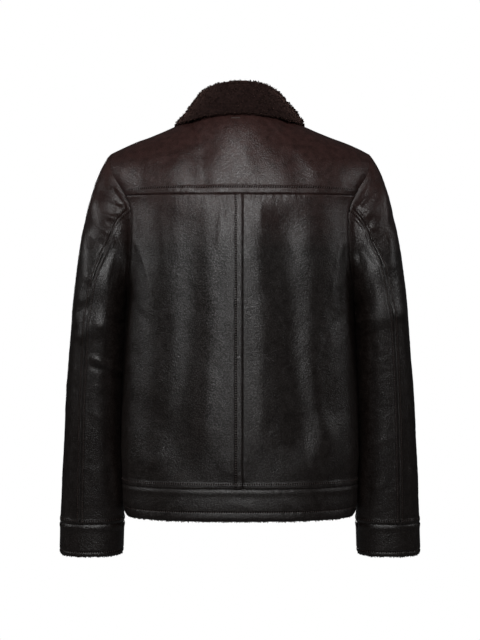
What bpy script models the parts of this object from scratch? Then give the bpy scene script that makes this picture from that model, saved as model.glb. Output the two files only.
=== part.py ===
"""A short leather jacket with wool pile inside, worn and hollow, as separate cut pieces.

Metres. X runs to the wearer's left, the back faces +Y and Z is up. The origin is in the
middle of the neck opening, level with the back neck seam. Every piece of leather is a
wall of skin and pile under an outer surface that a few functions give, and neighbours
share that surface, so that they meet at a seam's width.
"""

import math
from collections import namedtuple

import bmesh
import bpy
from mathutils import Matrix, Vector

WALL = 0.004  # leather and clipped pile together
SEAM_GAP = 0.0003
PROBE = 0.0005  # share of a surface's span that its slope is measured over
TURN_PROBE = 0.2  # degrees, for the same on a surface that is read by its turn

# Heights of the seams on the body.
HEM_BOTTOM = -0.666
HEM_SEAM = -0.6145
CHEST_LINE = -0.172  # above it the front turns in to the neck and shoulder
YOKE_SEAM = -0.146
ARM_BOTTOM = -0.320
SHOULDER_TIP_HEIGHT = -0.072

CENTRE_BACK_SEAM_X = -0.004
FRONT_EDGE_X = 0.0062

# Outer surface of the body: half its width, and how far it reaches back and forward.
BodyRing = namedtuple("BodyRing", "height half_width back front")
BODY_RINGS = (
    BodyRing(-0.666, 0.1895, 0.1290, 0.1255),
    BodyRing(-0.640, 0.1915, 0.1305, 0.1280),
    BodyRing(-0.6145, 0.1910, 0.1300, 0.1275),
    BodyRing(-0.560, 0.1945, 0.1320, 0.1310),
    BodyRing(-0.480, 0.1935, 0.1320, 0.1335),
    BodyRing(-0.400, 0.1905, 0.1315, 0.1370),
    BodyRing(-0.320, 0.1875, 0.1310, 0.1405),
    BodyRing(-0.250, 0.1875, 0.1290, 0.1405),
    BodyRing(-0.200, 0.1875, 0.1255, 0.1370),
    BodyRing(-0.146, 0.1875, 0.1170, 0.1270),
    BodyRing(-0.060, 0.1875, 0.0900, 0.0950),
)
SQUARENESS = 2.7  # 2 would make each ring an ellipse

# The armhole edge: how far out it lies at each height, front and back.
ArmholeRow = namedtuple("ArmholeRow", "height out")
ARMHOLE_ROWS = (
    ArmholeRow(-0.320, 0.1875),
    ArmholeRow(-0.285, 0.1835),
    ArmholeRow(-0.245, 0.1790),
    ArmholeRow(-0.200, 0.1770),
    ArmholeRow(-0.160, 0.1800),
    ArmholeRow(-0.134, 0.1960),
    ArmholeRow(-0.102, 0.2105),
    ArmholeRow(-0.072, 0.2150),
)
ARMHOLE_BACK = 0.067
ARMHOLE_FRONT = 0.070
ARMHOLE_FLATTENING = 0.85

# The shoulder seam, from the side of the neck to its tip.
ShoulderRow = namedtuple("ShoulderRow", "out height")
SHOULDER_ROWS = (
    ShoulderRow(0.082, -0.0150),
    ShoulderRow(0.108, -0.0262),
    ShoulderRow(0.128, -0.0352),
    ShoulderRow(0.149, -0.0443),
    ShoulderRow(0.178, -0.0548),
    ShoulderRow(0.199, -0.0640),
    ShoulderRow(0.215, -0.0720),
)
SHOULDER_Y = -0.006
NECK_HALF_WIDTH = 0.082
NECK_BACK = 0.055
NECK_FRONT = 0.095
NECK_FRONT_DROP = 0.072
NECK_SHARE_BACK = 0.40  # share of the yoke's top edge that lies along the neck
NECK_SHARE_FRONT = 0.40

# Soft folds of the back and fronts, as lines down the cloth seen from behind or in front.
DrapeFold = namedtuple("DrapeFold", "x_top z_top x_bottom z_bottom half_width depth")
BACK_FOLDS = (
    DrapeFold(0.058, -0.175, 0.098, -0.590, 0.030, -0.0060),
    DrapeFold(-0.066, -0.175, -0.100, -0.560, 0.032, -0.0065),
    DrapeFold(0.000, -0.190, 0.006, -0.600, 0.034, 0.0035),
    DrapeFold(0.125, -0.200, 0.140, -0.480, 0.026, 0.0035),
    DrapeFold(-0.130, -0.190, -0.146, -0.470, 0.026, 0.0035),
)
FRONT_FOLDS = (
    DrapeFold(0.070, -0.230, 0.085, -0.580, 0.030, -0.0045),
    DrapeFold(-0.075, -0.240, -0.095, -0.560, 0.030, -0.0050),
    DrapeFold(0.125, -0.240, 0.135, -0.520, 0.024, 0.0035),
    DrapeFold(-0.130, -0.230, -0.138, -0.500, 0.024, 0.0035),
)
FOLD_END = 0.06  # length over which a fold dies out

# Sleeve rings below the cap: inner and outer side, reach to back and front of middle.
SleeveRing = namedtuple("SleeveRing", "height inner outer half_depth middle_y dip")
SLEEVE_RINGS = (
    SleeveRing(-0.742, 0.1965, 0.3030, 0.0450, -0.0370, 0.0025),
    SleeveRing(-0.683, 0.1945, 0.3015, 0.0462, -0.0325, 0.0025),
    SleeveRing(-0.620, 0.1958, 0.2980, 0.0515, -0.0270, 0.0020),
    SleeveRing(-0.553, 0.1972, 0.2940, 0.0570, -0.0205, 0.0015),
    SleeveRing(-0.473, 0.1960, 0.2895, 0.0635, -0.0140, 0.0010),
    SleeveRing(-0.400, 0.1938, 0.2832, 0.0710, -0.0090, 0.0005),
    SleeveRing(-0.345, 0.1903, 0.2785, 0.0770, -0.0050, 0.0000),
)
SLEEVE_SQUARENESS = 2.4

# Folds of the sleeves, as lines between two places given by turn and height.
SleeveFold = namedtuple(
    "SleeveFold", "side turn_start z_start turn_end z_end half_width depth"
)
SLEEVE_FOLDS = (
    SleeveFold(1, 40.0, -0.150, 120.0, -0.235, 0.014, 0.0045),
    SleeveFold(1, 30.0, -0.185, 115.0, -0.270, 0.013, -0.0045),
    SleeveFold(1, 60.0, -0.270, 122.0, -0.296, 0.013, 0.0040),
    SleeveFold(1, 45.0, -0.335, 120.0, -0.315, 0.012, -0.0035),
    SleeveFold(1, 55.0, -0.375, 120.0, -0.352, 0.013, 0.0030),
    SleeveFold(-1, 35.0, -0.130, 110.0, -0.215, 0.014, 0.0045),
    SleeveFold(-1, 20.0, -0.170, 110.0, -0.250, 0.013, -0.0045),
    SleeveFold(-1, 50.0, -0.250, 120.0, -0.275, 0.013, 0.0040),
    SleeveFold(-1, 40.0, -0.330, 120.0, -0.350, 0.014, 0.0030),
    SleeveFold(1, -40.0, -0.160, -110.0, -0.240, 0.014, 0.0040),
    SleeveFold(1, -40.0, -0.330, -120.0, -0.300, 0.014, -0.0040),
    SleeveFold(-1, -35.0, -0.170, -105.0, -0.250, 0.014, 0.0040),
    SleeveFold(-1, -45.0, -0.320, -120.0, -0.290, 0.014, -0.0040),
)
SLEEVE_RADIUS = 0.060  # turns into a length round the sleeve, for its folds
SLEEVE_FOLD_END = 0.030
SLEEVE_FOLD_START = 0.25  # share of the cap over which folds rise from the armhole
CAP_END = -0.345
CAP_HEART_IN = 0.055  # a place inside the cap that its cloth faces away from
CAP_HEART_HEIGHT = -0.235
CUFF_SEAM = -0.683
CUFF_BOTTOM = -0.737
SLEEVE_START_GAP = 0.0004

# Places round a sleeve, in degrees: 0 on top or outside, 90 at the back, 180 inside.
BACK_SLEEVE_SEAM = 76.0
FRONT_SLEEVE_SEAM = -110.0

# Collar sections round the neck, from centre back (0) to its front end. The path runs
# over the pile, up from the neck seam, over the fold and down to the free edge.
CollarSection = namedtuple(
    "CollarSection", "turn faces stand fold_out fold_radius edge_out edge_up bulge"
)
COLLAR_SECTIONS = (
    CollarSection(0.0, 0.0, 0.0435, 0.0020, 0.0110, 0.0290, -0.0125, 0.004),
    CollarSection(30.0, 30.0, 0.0430, -0.0020, 0.0105, 0.0280, -0.0120, 0.004),
    CollarSection(60.0, 62.0, 0.0415, -0.0110, 0.0095, 0.0265, -0.0095, 0.004),
    CollarSection(90.0, 90.0, 0.0380, -0.0165, 0.0090, 0.0262, -0.0040, 0.005),
    CollarSection(105.0, 103.0, 0.0374, -0.0135, 0.0090, 0.0292, -0.0005, 0.006),
    CollarSection(120.0, 116.0, 0.0370, -0.0100, 0.0090, 0.0330, 0.0000, 0.006),
    CollarSection(135.0, 126.0, 0.0352, -0.0050, 0.0090, 0.0400, -0.0125, 0.005),
    CollarSection(150.0, 134.0, 0.0330, 0.0000, 0.0090, 0.0480, -0.0310, 0.004),
    CollarSection(175.0, 146.0, 0.0250, 0.0060, 0.0090, 0.0640, -0.0720, 0.004),
)
COLLAR_ARC = (180.0, 140.0, 100.0, 60.0, 20.0)  # degrees round the fold
COLLAR_FALL = (0.33, 0.67, 1.0)  # shares of the way from the fold to the free edge
COLLAR_FOOT = 0.0005  # the stand's lower edge, above the neck seam
COLLAR_FOOT_RISE = 0.0015  # and more at its front ends, where the neck seam runs down
COLLAR_FOOT_RISE_TURN = 150.0
COLLAR_HOLLOW = 0.001  # how far the stand bows in, halfway up
COLLAR_WALL = 0.006
COLLAR_LAST_TURN = 173.0

# The zip. A place up it is -1 at the hem's bottom, 0 at the hem seam, 1 at the chest
# line and 2 at the neck. Depths are below the fronts' outer surface.
TAPE_INNER_X = 0.0034
TAPE_OUTER_X = 0.0190
TAPE_WALL = 0.0010
TAPE_DEPTH = WALL + 0.0006
TAPE_START = -0.985
TAPE_END = 1.97
CHAIN_HALF_WIDTH = 0.0028
CHAIN_THICKNESS = 0.0026
CHAIN_DEPTH = TAPE_DEPTH + TAPE_WALL / 2
CHAIN_START = -0.80
ZIP_BOX_PLACE = -0.90
ZIP_BOX_SIZE = (0.0100, 0.0026, 0.0085)
ZIP_BOX_CORE_LENGTH = 0.0080
SLIDER_PLACE = 1.80
SLIDER_LENGTH = 0.012
SLIDER_WIDTH = 0.0092
SLIDER_PLATE = 0.0013
SLIDER_PLATE_GAP = CHAIN_THICKNESS + 0.0006
SLIDER_POST_WIDTH = 0.0026
SLIDER_POST_LENGTH = 0.0035
SLIDER_ARCH_WIDTH = 0.0020
SLIDER_ARCH_LENGTH = 0.0072
SLIDER_ARCH_OVER_PIN = 0.0022
SLIDER_ROOT = 0.0004  # how far the arch is sunk into the slider's front plate
PIN_HOLE_RADIUS = 0.0011
PULL_LENGTH = 0.030
PULL_WIDTH = 0.007
PULL_THICKNESS = 0.0014
PULL_HEAD = 0.0010  # how far the pull's arms reach past its pin
PULL_LEAN = -5.5  # degrees that it hangs off the zip line, to lie on the slider
PULL_EYE_WIDTH = 0.0036
PULL_EYE_LENGTH = 0.0076
PULL_EYE_OVER_PIN = 0.002
PIN_RADIUS = 0.0006
PIN_SHORT = 0.0012  # how much shorter than the pull is wide
PIN_HEIGHT = 0.0016  # above the slider's front face
METAL_BEVEL = 0.0004
PULL_BEVEL = 0.0003
CUT_THROUGH = 0.010

LEATHER = (0.040, 0.031, 0.029)
PILE = (0.030, 0.020, 0.018)
TAPE = (0.012, 0.011, 0.011)
METAL = (0.200, 0.190, 0.180)


# ---------------------------------------------------------------- reading the tables


def read(rows, key, column, at):
    """A column of a table on a smooth curve through its rows, at a value of the key."""
    keys = [getattr(row, key) for row in rows]
    values = [getattr(row, column) for row in rows]
    at = min(max(at, keys[0]), keys[-1])
    place = max(index for index in range(len(keys) - 1) if keys[index] <= at)
    slopes = [
        (values[index + 1] - values[index]) / (keys[index + 1] - keys[index])
        for index in range(len(keys) - 1)
    ]
    before = slopes[max(place - 1, 0)]
    here = slopes[place]
    after = slopes[min(place + 1, len(slopes) - 1)]
    leave = (before + here) / 2 if before * here > 0 else 0.0
    arrive = (here + after) / 2 if here * after > 0 else 0.0
    span = keys[place + 1] - keys[place]
    share = (at - keys[place]) / span
    return hermite(
        values[place], leave * span, values[place + 1], arrive * span, share
    )


def hermite(start, leave, end, arrive, share):
    """The cubic from start to end with the given slopes. It takes numbers or vectors."""
    square = share * share
    cube = square * share
    return (
        start * (2 * cube - 3 * square + 1)
        + leave * (cube - 2 * square + share)
        + end * (3 * square - 2 * cube)
        + arrive * (cube - square)
    )


def smooth_step(share):
    share = min(max(share, 0.0), 1.0)
    return share * share * (3 - 2 * share)


def fold_lift(here, start, end, fold, fade_length):
    """How far one fold, a line from start to end, lifts the cloth at a place."""
    run = end - start
    away = here - start
    along = away.dot(run) / run.length
    across = away.cross(run) / run.length
    fade = smooth_step(min(along, run.length - along) / fade_length + 0.5)
    return fold.depth * fade * math.exp(-((across / fold.half_width) ** 2))


def folds_at(folds, x, z):
    """How far the drape folds lift the cloth off its plain form at a place."""
    return sum(
        fold_lift(
            Vector((x, z)),
            Vector((fold.x_top, fold.z_top)),
            Vector((fold.x_bottom, fold.z_bottom)),
            fold,
            FOLD_END,
        )
        for fold in folds
    )


# ---------------------------------------------------------------- the body's surface


def armhole(turn):
    """A point of the left armhole's edge. 0 is the shoulder tip, 90 back, 180 underarm."""
    turn = math.radians(turn)
    middle = (SHOULDER_TIP_HEIGHT + ARM_BOTTOM) / 2
    reach = (SHOULDER_TIP_HEIGHT - ARM_BOTTOM) / 2
    height = middle + reach * math.cos(turn)
    side = math.sin(turn)
    depth = ARMHOLE_BACK if side > 0 else ARMHOLE_FRONT
    depth = math.copysign(depth * abs(side) ** ARMHOLE_FLATTENING, side)
    top_share = ((1 + math.cos(turn)) / 2) ** 2
    out = read(ARMHOLE_ROWS, "height", "out", height)
    return Vector((out, depth + SHOULDER_Y * top_share, height))


def armhole_turn(height, back):
    """The turn at which the armhole's edge is at a height, at the back or front."""
    middle = (SHOULDER_TIP_HEIGHT + ARM_BOTTOM) / 2
    reach = (SHOULDER_TIP_HEIGHT - ARM_BOTTOM) / 2
    turn = math.degrees(math.acos(min(max((height - middle) / reach, -1.0), 1.0)))
    return turn if back else -turn


def ring_point(angle, height, back):
    """A point of the body's outer surface. angle is 0 at the centre and 90 at the side."""
    depth = read(BODY_RINGS, "height", "back" if back else "front", height)
    width = read(BODY_RINGS, "height", "half_width", height)
    if height > ARM_BOTTOM:
        edge = armhole(armhole_turn(height, back))
        spare = 1 - (abs(edge.y) / depth) ** SQUARENESS
        width = edge.x / max(spare, 0.05) ** (1 / SQUARENESS)
    sine, cosine = math.sin(math.radians(angle)), math.cos(math.radians(angle))
    radius = abs(sine / width) ** SQUARENESS + abs(cosine / depth) ** SQUARENESS
    radius **= -1 / SQUARENESS
    return Vector((radius * sine, radius * cosine * (1 if back else -1), height))


def edge_angle(height, back):
    """Where a panel ends at a height: at the side seam, or at the armhole."""
    if height <= ARM_BOTTOM:
        return 90.0
    edge = armhole(armhole_turn(height, back))
    return math.degrees(math.atan2(edge.x, abs(edge.y)))


def body_point(across, height, side, back, centre_x):
    """The outer surface of a panel, from its centre edge (0) to its outer edge (1)."""
    depth = read(BODY_RINGS, "height", "back" if back else "front", height)
    start = math.degrees(math.asin(centre_x / depth))
    angle = start + (edge_angle(height, back) - start) * across
    point = ring_point(angle, height, back)
    point.x *= side
    lift = folds_at(BACK_FOLDS if back else FRONT_FOLDS, point.x, height)
    point.y += lift if back else -lift
    return point


def neck_point(turn):
    """A point of the neck seam. turn is 0 at centre back, 90 at the side, 180 in front."""
    turn = math.radians(turn)
    forward = max(-math.cos(turn), 0.0)
    side_height = SHOULDER_ROWS[0].height
    if forward:
        y = SHOULDER_Y - (NECK_FRONT + SHOULDER_Y) * forward
        z = side_height - (NECK_FRONT_DROP + side_height) * forward**1.3
    else:
        y = SHOULDER_Y + (NECK_BACK - SHOULDER_Y) * math.cos(turn)
        z = side_height * math.sin(turn) ** 2
    return Vector((NECK_HALF_WIDTH * math.sin(turn), y, z))


def top_edge(across, back):
    """A panel's top edge: along the neck seam from the centre, then the shoulder seam."""
    neck_share = NECK_SHARE_BACK if back else NECK_SHARE_FRONT
    if across <= neck_share:
        last = 0.0 if back else 180 - math.degrees(FRONT_EDGE_X / NECK_HALF_WIDTH)
        return neck_point(last + (90 - last) * across / neck_share)
    share = (across - neck_share) / (1 - neck_share)
    out = NECK_HALF_WIDTH + (SHOULDER_ROWS[-1].out - NECK_HALF_WIDTH) * share
    return Vector((out, SHOULDER_Y, read(SHOULDER_ROWS, "out", "height", out)))


def upper_point(across, rise, side, back):
    """The surface above the yoke seam or chest line. rise is 0 there, 1 at the top."""
    base = YOKE_SEAM if back else CHEST_LINE
    centre_x = 0.0 if back else FRONT_EDGE_X
    facing = 1 if back else -1
    limit = armhole_turn(base, back)
    first_step = (armhole(limit * (1 - PROBE)) - armhole(limit)).length / PROBE
    pace = first_step / (armhole(0.0) - armhole(limit)).length

    def column(share, up):
        bottom = body_point(share, base, 1, back, centre_x)
        below = body_point(share, base - 0.004, 1, back, centre_x)
        top = top_edge(share, back)
        chord = (top - bottom).length
        neck_share = NECK_SHARE_BACK if back else NECK_SHARE_FRONT
        steep = max(1 - share / neck_share, 0.0) ** 0.7
        arrive = Vector((0.0, -facing, (0.62 if back else 0.75) * steep)).normalized()
        leave = (bottom - below).normalized()
        return hermite(bottom, leave * chord * pace, top, arrive * chord * 0.95, up)

    point = column(across, rise)
    slip = armhole(limit * (1 - rise)) - column(1.0, rise)
    point += slip * across**4
    point.x *= side
    return point


# ---------------------------------------------------------------- the sleeve's surface


def sleeve_ring(turn, height):
    """The sleeve's outer surface below the cap."""
    inner = read(SLEEVE_RINGS, "height", "inner", height)
    outer = read(SLEEVE_RINGS, "height", "outer", height)
    half_depth = read(SLEEVE_RINGS, "height", "half_depth", height)
    middle_y = read(SLEEVE_RINGS, "height", "middle_y", height)
    dip = read(SLEEVE_RINGS, "height", "dip", height)
    cosine, sine = math.cos(math.radians(turn)), math.sin(math.radians(turn))
    power = 2 / SLEEVE_SQUARENESS
    x = (inner + outer) / 2 + (outer - inner) / 2 * math.copysign(
        abs(cosine) ** power, cosine
    )
    depth = math.copysign(abs(sine) ** power, sine)
    return Vector((x, middle_y + half_depth * depth, height - dip * depth))


def sleeve_form(turn, along):
    """The plain left sleeve. along is 0 at the armhole, 1 at the cap's end, 2 at the cuff
    seam and 3 at the bottom of the cuff."""
    if along > 2:
        return sleeve_ring(turn, CUFF_SEAM + (CUFF_BOTTOM - CUFF_SEAM) * (along - 2))
    if along > 1:
        return sleeve_ring(turn, CAP_END + (CUFF_SEAM - CAP_END) * (along - 1))
    start = armhole(turn)
    end = sleeve_ring(turn, CAP_END)
    chord = (end - start).length
    cosine, sine = math.cos(math.radians(turn)), math.sin(math.radians(turn))
    leave = Vector((0.62 + 0.30 * abs(sine) ** 2, 0.34 * sine, -0.50 - 0.25 * cosine))
    leave = leave.lerp(Vector((0.18, 0.0, -1.0)), max(-cosine, 0.0) ** 2).normalized()
    arrive = (sleeve_ring(turn, CAP_END - 0.01) - end).normalized()
    return hermite(start, leave * chord * 0.7, end, arrive * chord * 0.6, along)


def sleeve_outward(point):
    """Outwards on the left sleeve: away from a line down its middle."""
    height = min(point.z, CAP_END)
    inner = read(SLEEVE_RINGS, "height", "inner", height)
    outer = read(SLEEVE_RINGS, "height", "outer", height)
    middle_x = (inner + outer) / 2
    middle_y = read(SLEEVE_RINGS, "height", "middle_y", height)
    if point.z <= CAP_END:
        return Vector((point.x - middle_x, point.y - middle_y, 0.0))
    return point - Vector((middle_x - CAP_HEART_IN, middle_y, CAP_HEART_HEIGHT))


def sleeve_point(turn, along, side):
    """A sleeve with its folds, which fade out at the armhole and the cuff seam."""
    point = sleeve_form(turn, along)
    near = turn if turn <= 180 else turn - 360
    lift = 0.0
    for fold in SLEEVE_FOLDS:
        if fold.side != side:
            continue
        start = Vector((math.radians(fold.turn_start) * SLEEVE_RADIUS, fold.z_start))
        end = Vector((math.radians(fold.turn_end) * SLEEVE_RADIUS, fold.z_end))
        here = Vector((math.radians(near) * SLEEVE_RADIUS, point.z))
        lift += fold_lift(here, start, end, fold, SLEEVE_FOLD_END)
    lift *= smooth_step(along / SLEEVE_FOLD_START) * smooth_step((2 - along) / 0.2)
    point += sleeve_outward(point).normalized() * lift
    point.x *= side
    return point


# ---------------------------------------------------------------- making a wall


def slope_normal(surface, u, v, outward, u_probe=PROBE):
    """The unit normal of a surface at a place, turned the way outward points."""
    across = surface(u + u_probe, v) - surface(u - u_probe, v)
    up = surface(u, v + PROBE) - surface(u, v - PROBE)
    normal = across.cross(up).normalized()
    return normal if normal.dot(outward(surface(u, v))) > 0 else -normal


def drawn_in(rows, gap_first, gap_last):
    """Steps that draw the first and last entry of each row towards their neighbours."""
    steps = []
    for row in rows:
        step = [Vector() for _ in row]
        step[0] = (row[1] - row[0]).normalized() * gap_first
        step[-1] = (row[-2] - row[-1]).normalized() * gap_last
        steps.append(step)
    return steps


def new_piece(name, mesh_maker, finish):
    """A named object in the jacket's collection, with a mesh that mesh_maker fills."""
    made = bmesh.new()
    mesh_maker(made)
    mesh = bpy.data.meshes.new(name)
    made.to_mesh(mesh)
    made.free()
    mesh.materials.append(finish)
    mesh.shade_smooth()
    mesh.set_sharp_from_angle(angle=math.radians(40))
    piece = bpy.data.objects.new(name, mesh)
    jacket.objects.link(piece)
    return piece


def wall(name, outer, inner, finish, closed=False, start_gap=SEAM_GAP / 2):
    """A closed wall between two grids of points, which list rows of columns."""
    columns, rows = len(outer[0]), len(outer)
    if not closed:
        steps = drawn_in(outer, SEAM_GAP / 2, SEAM_GAP / 2)
        outer = [[p + s for p, s in zip(row, step)] for row, step in zip(outer, steps)]
        inner = [[p + s for p, s in zip(row, step)] for row, step in zip(inner, steps)]
    steps = drawn_in(list(zip(*outer)), start_gap, SEAM_GAP / 2)
    steps = list(zip(*steps))
    outer = [[p + s for p, s in zip(row, step)] for row, step in zip(outer, steps)]
    inner = [[p + s for p, s in zip(row, step)] for row, step in zip(inner, steps)]

    def fill(made):
        column_of = made.verts.layers.int.new("column")
        row_of = made.verts.layers.int.new("row")
        bmesh.ops.create_grid(made, x_segments=columns - 1, y_segments=rows - 1, size=1)
        for index, vert in enumerate(made.verts):
            vert[column_of] = index % columns
            vert[row_of] = index // columns
            vert.co = outer[vert[row_of]][vert[column_of]]
        if closed:
            bmesh.ops.remove_doubles(made, verts=made.verts[:], dist=1e-6)
        grown = bmesh.ops.extrude_face_region(
            made, geom=made.faces[:], use_keep_orig=True
        )
        for vert in grown["geom"]:
            if isinstance(vert, bmesh.types.BMVert):
                vert.co = inner[vert[row_of]][vert[column_of]]
        bmesh.ops.recalc_face_normals(made, faces=made.faces[:])

    return new_piece(name, fill, finish)


def wall_on(
    name, surface, us, vs, outward, finish, turned=None, u_probe=PROBE, **more
):
    """A wall under a surface. turned gives the way inwards where a seam sets it."""
    outer, inner = [], []
    for v in vs:
        outer.append([surface(u, v) for u in us])
        inner.append([])
        for u, point in zip(us, outer[-1]):
            inwards = turned(u, v) if turned else None
            if inwards is None:
                inwards = -slope_normal(surface, u, v, outward, u_probe)
            inner[-1].append(point + inwards * WALL)
    return wall(name, outer, inner, finish, **more)


def spread(start, end, count):
    return [start + (end - start) * index / count for index in range(count + 1)]


def from_axis(point):
    """Outwards on the body: away from its upright axis, and up on the shoulders."""
    return Vector((point.x, point.y, max(point.z + 0.16, 0.0)))


# ---------------------------------------------------------------- finishes


def finish(name, colour, roughness, metallic=0.0):
    made = bpy.data.materials.new(name)
    made.use_nodes = True
    shader = made.node_tree.nodes["Principled BSDF"]
    shader.inputs["Base Color"].default_value = (*colour, 1.0)
    shader.inputs["Roughness"].default_value = roughness
    shader.inputs["Metallic"].default_value = metallic
    return made


# ---------------------------------------------------------------- seam directions


def armhole_inwards(turn):
    """The way inwards on both sides of the armhole seam where the sleeve bends down
    from the shoulder, so that the two walls meet on one face, or else None."""
    back = turn > 0
    base = YOKE_SEAM if back else CHEST_LINE
    limit = armhole_turn(base, back)
    if abs(turn) > abs(limit):
        return None
    rise = 1 - turn / limit
    rise = min(max(rise, 0.0), 1.0)
    shoulder = slope_normal(
        lambda u, v: upper_point(u, v, 1, back), 1 - PROBE, rise, from_axis
    )
    sleeve = slope_normal(sleeve_form, turn, 2 * PROBE, sleeve_outward, TURN_PROBE)
    leaving = (sleeve_form(turn, 0.02) - sleeve_form(turn, 0.0)).normalized()
    if leaving.dot(shoulder) >= 0:
        return None
    return -(shoulder + sleeve).normalized()


# ---------------------------------------------------------------- the pieces


YOKE_TURN = armhole_turn(YOKE_SEAM, True)
BACK_ARM_TURNS = spread(180.0, BACK_SLEEVE_SEAM, 7) + [YOKE_TURN]
YOKE_RISES = 5
FRONT_ARM_TURNS = spread(-180.0, FRONT_SLEEVE_SEAM, 4)[:-1] + spread(
    FRONT_SLEEVE_SEAM, armhole_turn(CHEST_LINE, False), 3
)
FRONT_RISES = 6


def mirrored(direction, side):
    if direction is None:
        return None
    return Vector((direction.x * side, direction.y, direction.z))


def torso_piece(name, side, back, heights, centre_x, columns):
    """A back panel, or a piece of the hem band, between heights."""
    return wall_on(
        name,
        lambda u, v: body_point(u, v, side, back, centre_x),
        spread(0.0, 1.0, columns),
        heights,
        from_axis,
        leather,
    )


def front_surface(side):
    """A front's surface: up to 1 it runs from the hem seam to the chest line, and from
    there to 2 it turns in to the neck and shoulder."""

    def surface(u, v):
        if v <= 1:
            height = HEM_SEAM + (CHEST_LINE - HEM_SEAM) * v
            return body_point(u, height, side, False, FRONT_EDGE_X)
        return upper_point(u, v - 1, side, False)

    return surface


def make_fronts():
    lower = spread(HEM_SEAM, ARM_BOTTOM, 10)[:-1]
    lower += [armhole(turn).z for turn in FRONT_ARM_TURNS]
    rows = [(height - HEM_SEAM) / (CHEST_LINE - HEM_SEAM) for height in lower]
    rows += [1 + rise for rise in spread(0.0, 1.0, FRONT_RISES)[1:]]
    across = spread(0.0, NECK_SHARE_FRONT, 5) + spread(NECK_SHARE_FRONT, 1.0, 7)[1:]
    for side, word in ((1, "left"), (-1, "right")):

        def turned(u, v, side=side):
            if u < 1 or v < 1:
                return None
            turn = armhole_turn(CHEST_LINE, False) * (2 - v)
            return mirrored(armhole_inwards(turn), side)

        wall_on(
            f"front_{word}",
            front_surface(side),
            across,
            rows,
            from_axis,
            leather,
            turned=turned,
        )


def make_back():
    heights = spread(HEM_SEAM, ARM_BOTTOM, 9)[:-1]
    heights += [armhole(turn).z for turn in BACK_ARM_TURNS]
    heights[-1] = YOKE_SEAM
    for side, word in ((1, "left"), (-1, "right")):
        torso_piece(
            f"back_{word}", side, True, heights, CENTRE_BACK_SEAM_X * side, 11
        )
    half = spread(0.0, NECK_SHARE_BACK, 5) + spread(NECK_SHARE_BACK, 1.0, 7)[1:]
    across = [-u for u in reversed(half[1:])] + half

    def turned(u, v):
        if abs(u) < 1:
            return None
        return mirrored(armhole_inwards(YOKE_TURN * (1 - v)), 1 if u > 0 else -1)

    wall_on(
        "back_yoke",
        lambda u, v: upper_point(abs(u), v, 1 if u >= 0 else -1, True),
        across,
        spread(0.0, 1.0, YOKE_RISES),
        from_axis,
        leather,
        turned=turned,
    )


def make_hem_band():
    heights = spread(HEM_BOTTOM, HEM_SEAM, 2)

    def whole_back(u, v):
        return body_point(abs(u), v, 1 if u >= 0 else -1, True, 0.0)

    wall_on(
        "hem_back", whole_back, spread(-1.0, 1.0, 22), heights, from_axis, leather
    )
    for side, word in ((1, "left"), (-1, "right")):
        torso_piece(f"hem_front_{word}", side, False, heights, FRONT_EDGE_X, 11)


def make_sleeves():
    under_turns = spread(BACK_SLEEVE_SEAM, 180.0, 7)
    under_turns += [turn + 360 for turn in FRONT_ARM_TURNS[1:5]]
    upper_turns = FRONT_ARM_TURNS[4:]
    upper_turns += [
        armhole_turn(CHEST_LINE, False) * (1 - rise)
        for rise in spread(0.0, 1.0, FRONT_RISES)[1:]
    ]
    upper_turns += [
        YOKE_TURN * rise for rise in spread(0.0, 1.0, YOKE_RISES)[1:]
    ]
    upper_turns.append(BACK_SLEEVE_SEAM)
    alongs = spread(0.0, 1.0, 10) + spread(1.0, 2.0, 12)[1:]
    for side, word in ((1, "left"), (-1, "right")):
        for part, turns in (("upper", upper_turns), ("under", under_turns)):

            def turned(u, v, side=side):
                turn = u if u <= 180 else u - 360
                if v == 0:
                    return mirrored(armhole_inwards(turn), side)
                if turn not in (BACK_SLEEVE_SEAM, FRONT_SLEEVE_SEAM):
                    return None
                plain = slope_normal(sleeve_form, turn, v, sleeve_outward, TURN_PROBE)
                return mirrored(-plain, side)

            def surface(u, v, side=side):
                return sleeve_point(u, v, side)

            def outward(point, side=side):
                return mirrored(sleeve_outward(mirrored(point, side)), side)

            wall_on(
                f"sleeve_{part}_{word}",
                surface,
                turns,
                alongs,
                outward,
                leather,
                turned=turned,
                u_probe=TURN_PROBE,
                start_gap=SLEEVE_START_GAP,
            )
        wall_on(
            f"cuff_{word}",
            lambda u, v, side=side: sleeve_point(u, v, side),
            spread(0.0, 360.0, 24),
            spread(2.0, 3.0, 2),
            lambda point, side=side: mirrored(
                sleeve_outward(mirrored(point, side)), side
            ),
            leather,
            u_probe=TURN_PROBE,
            closed=True,
        )


def collar_path(turn):
    """A collar section's points, out from and up from the neck seam, over the pile."""
    section = CollarSection(
        turn,
        *(
            read(COLLAR_SECTIONS, "turn", column, turn)
            for column in CollarSection._fields[1:]
        ),
    )
    radius = section.fold_radius
    middle = section.fold_out
    shoulder = section.stand - radius
    front_share = (turn - COLLAR_FOOT_RISE_TURN) / (180.0 - COLLAR_FOOT_RISE_TURN)
    foot = COLLAR_FOOT + COLLAR_FOOT_RISE * smooth_step(front_share)
    points = [
        Vector((-COLLAR_WALL, foot)),
        Vector((-COLLAR_WALL * 0.9 + middle * 0.2 - COLLAR_HOLLOW, shoulder / 2)),
    ]
    for angle in COLLAR_ARC:
        turned = Vector((math.cos(math.radians(angle)), math.sin(math.radians(angle))))
        points.append(Vector((middle, shoulder)) + turned * radius)
    last = points[-1]
    edge = Vector((section.edge_out, section.edge_up))
    run = edge - last
    bulge = Vector((-run.y, run.x)).normalized() * section.bulge
    for share in COLLAR_FALL:
        points.append(last + run * share + bulge * math.sin(math.pi * share))
    return points, section.faces


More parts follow.
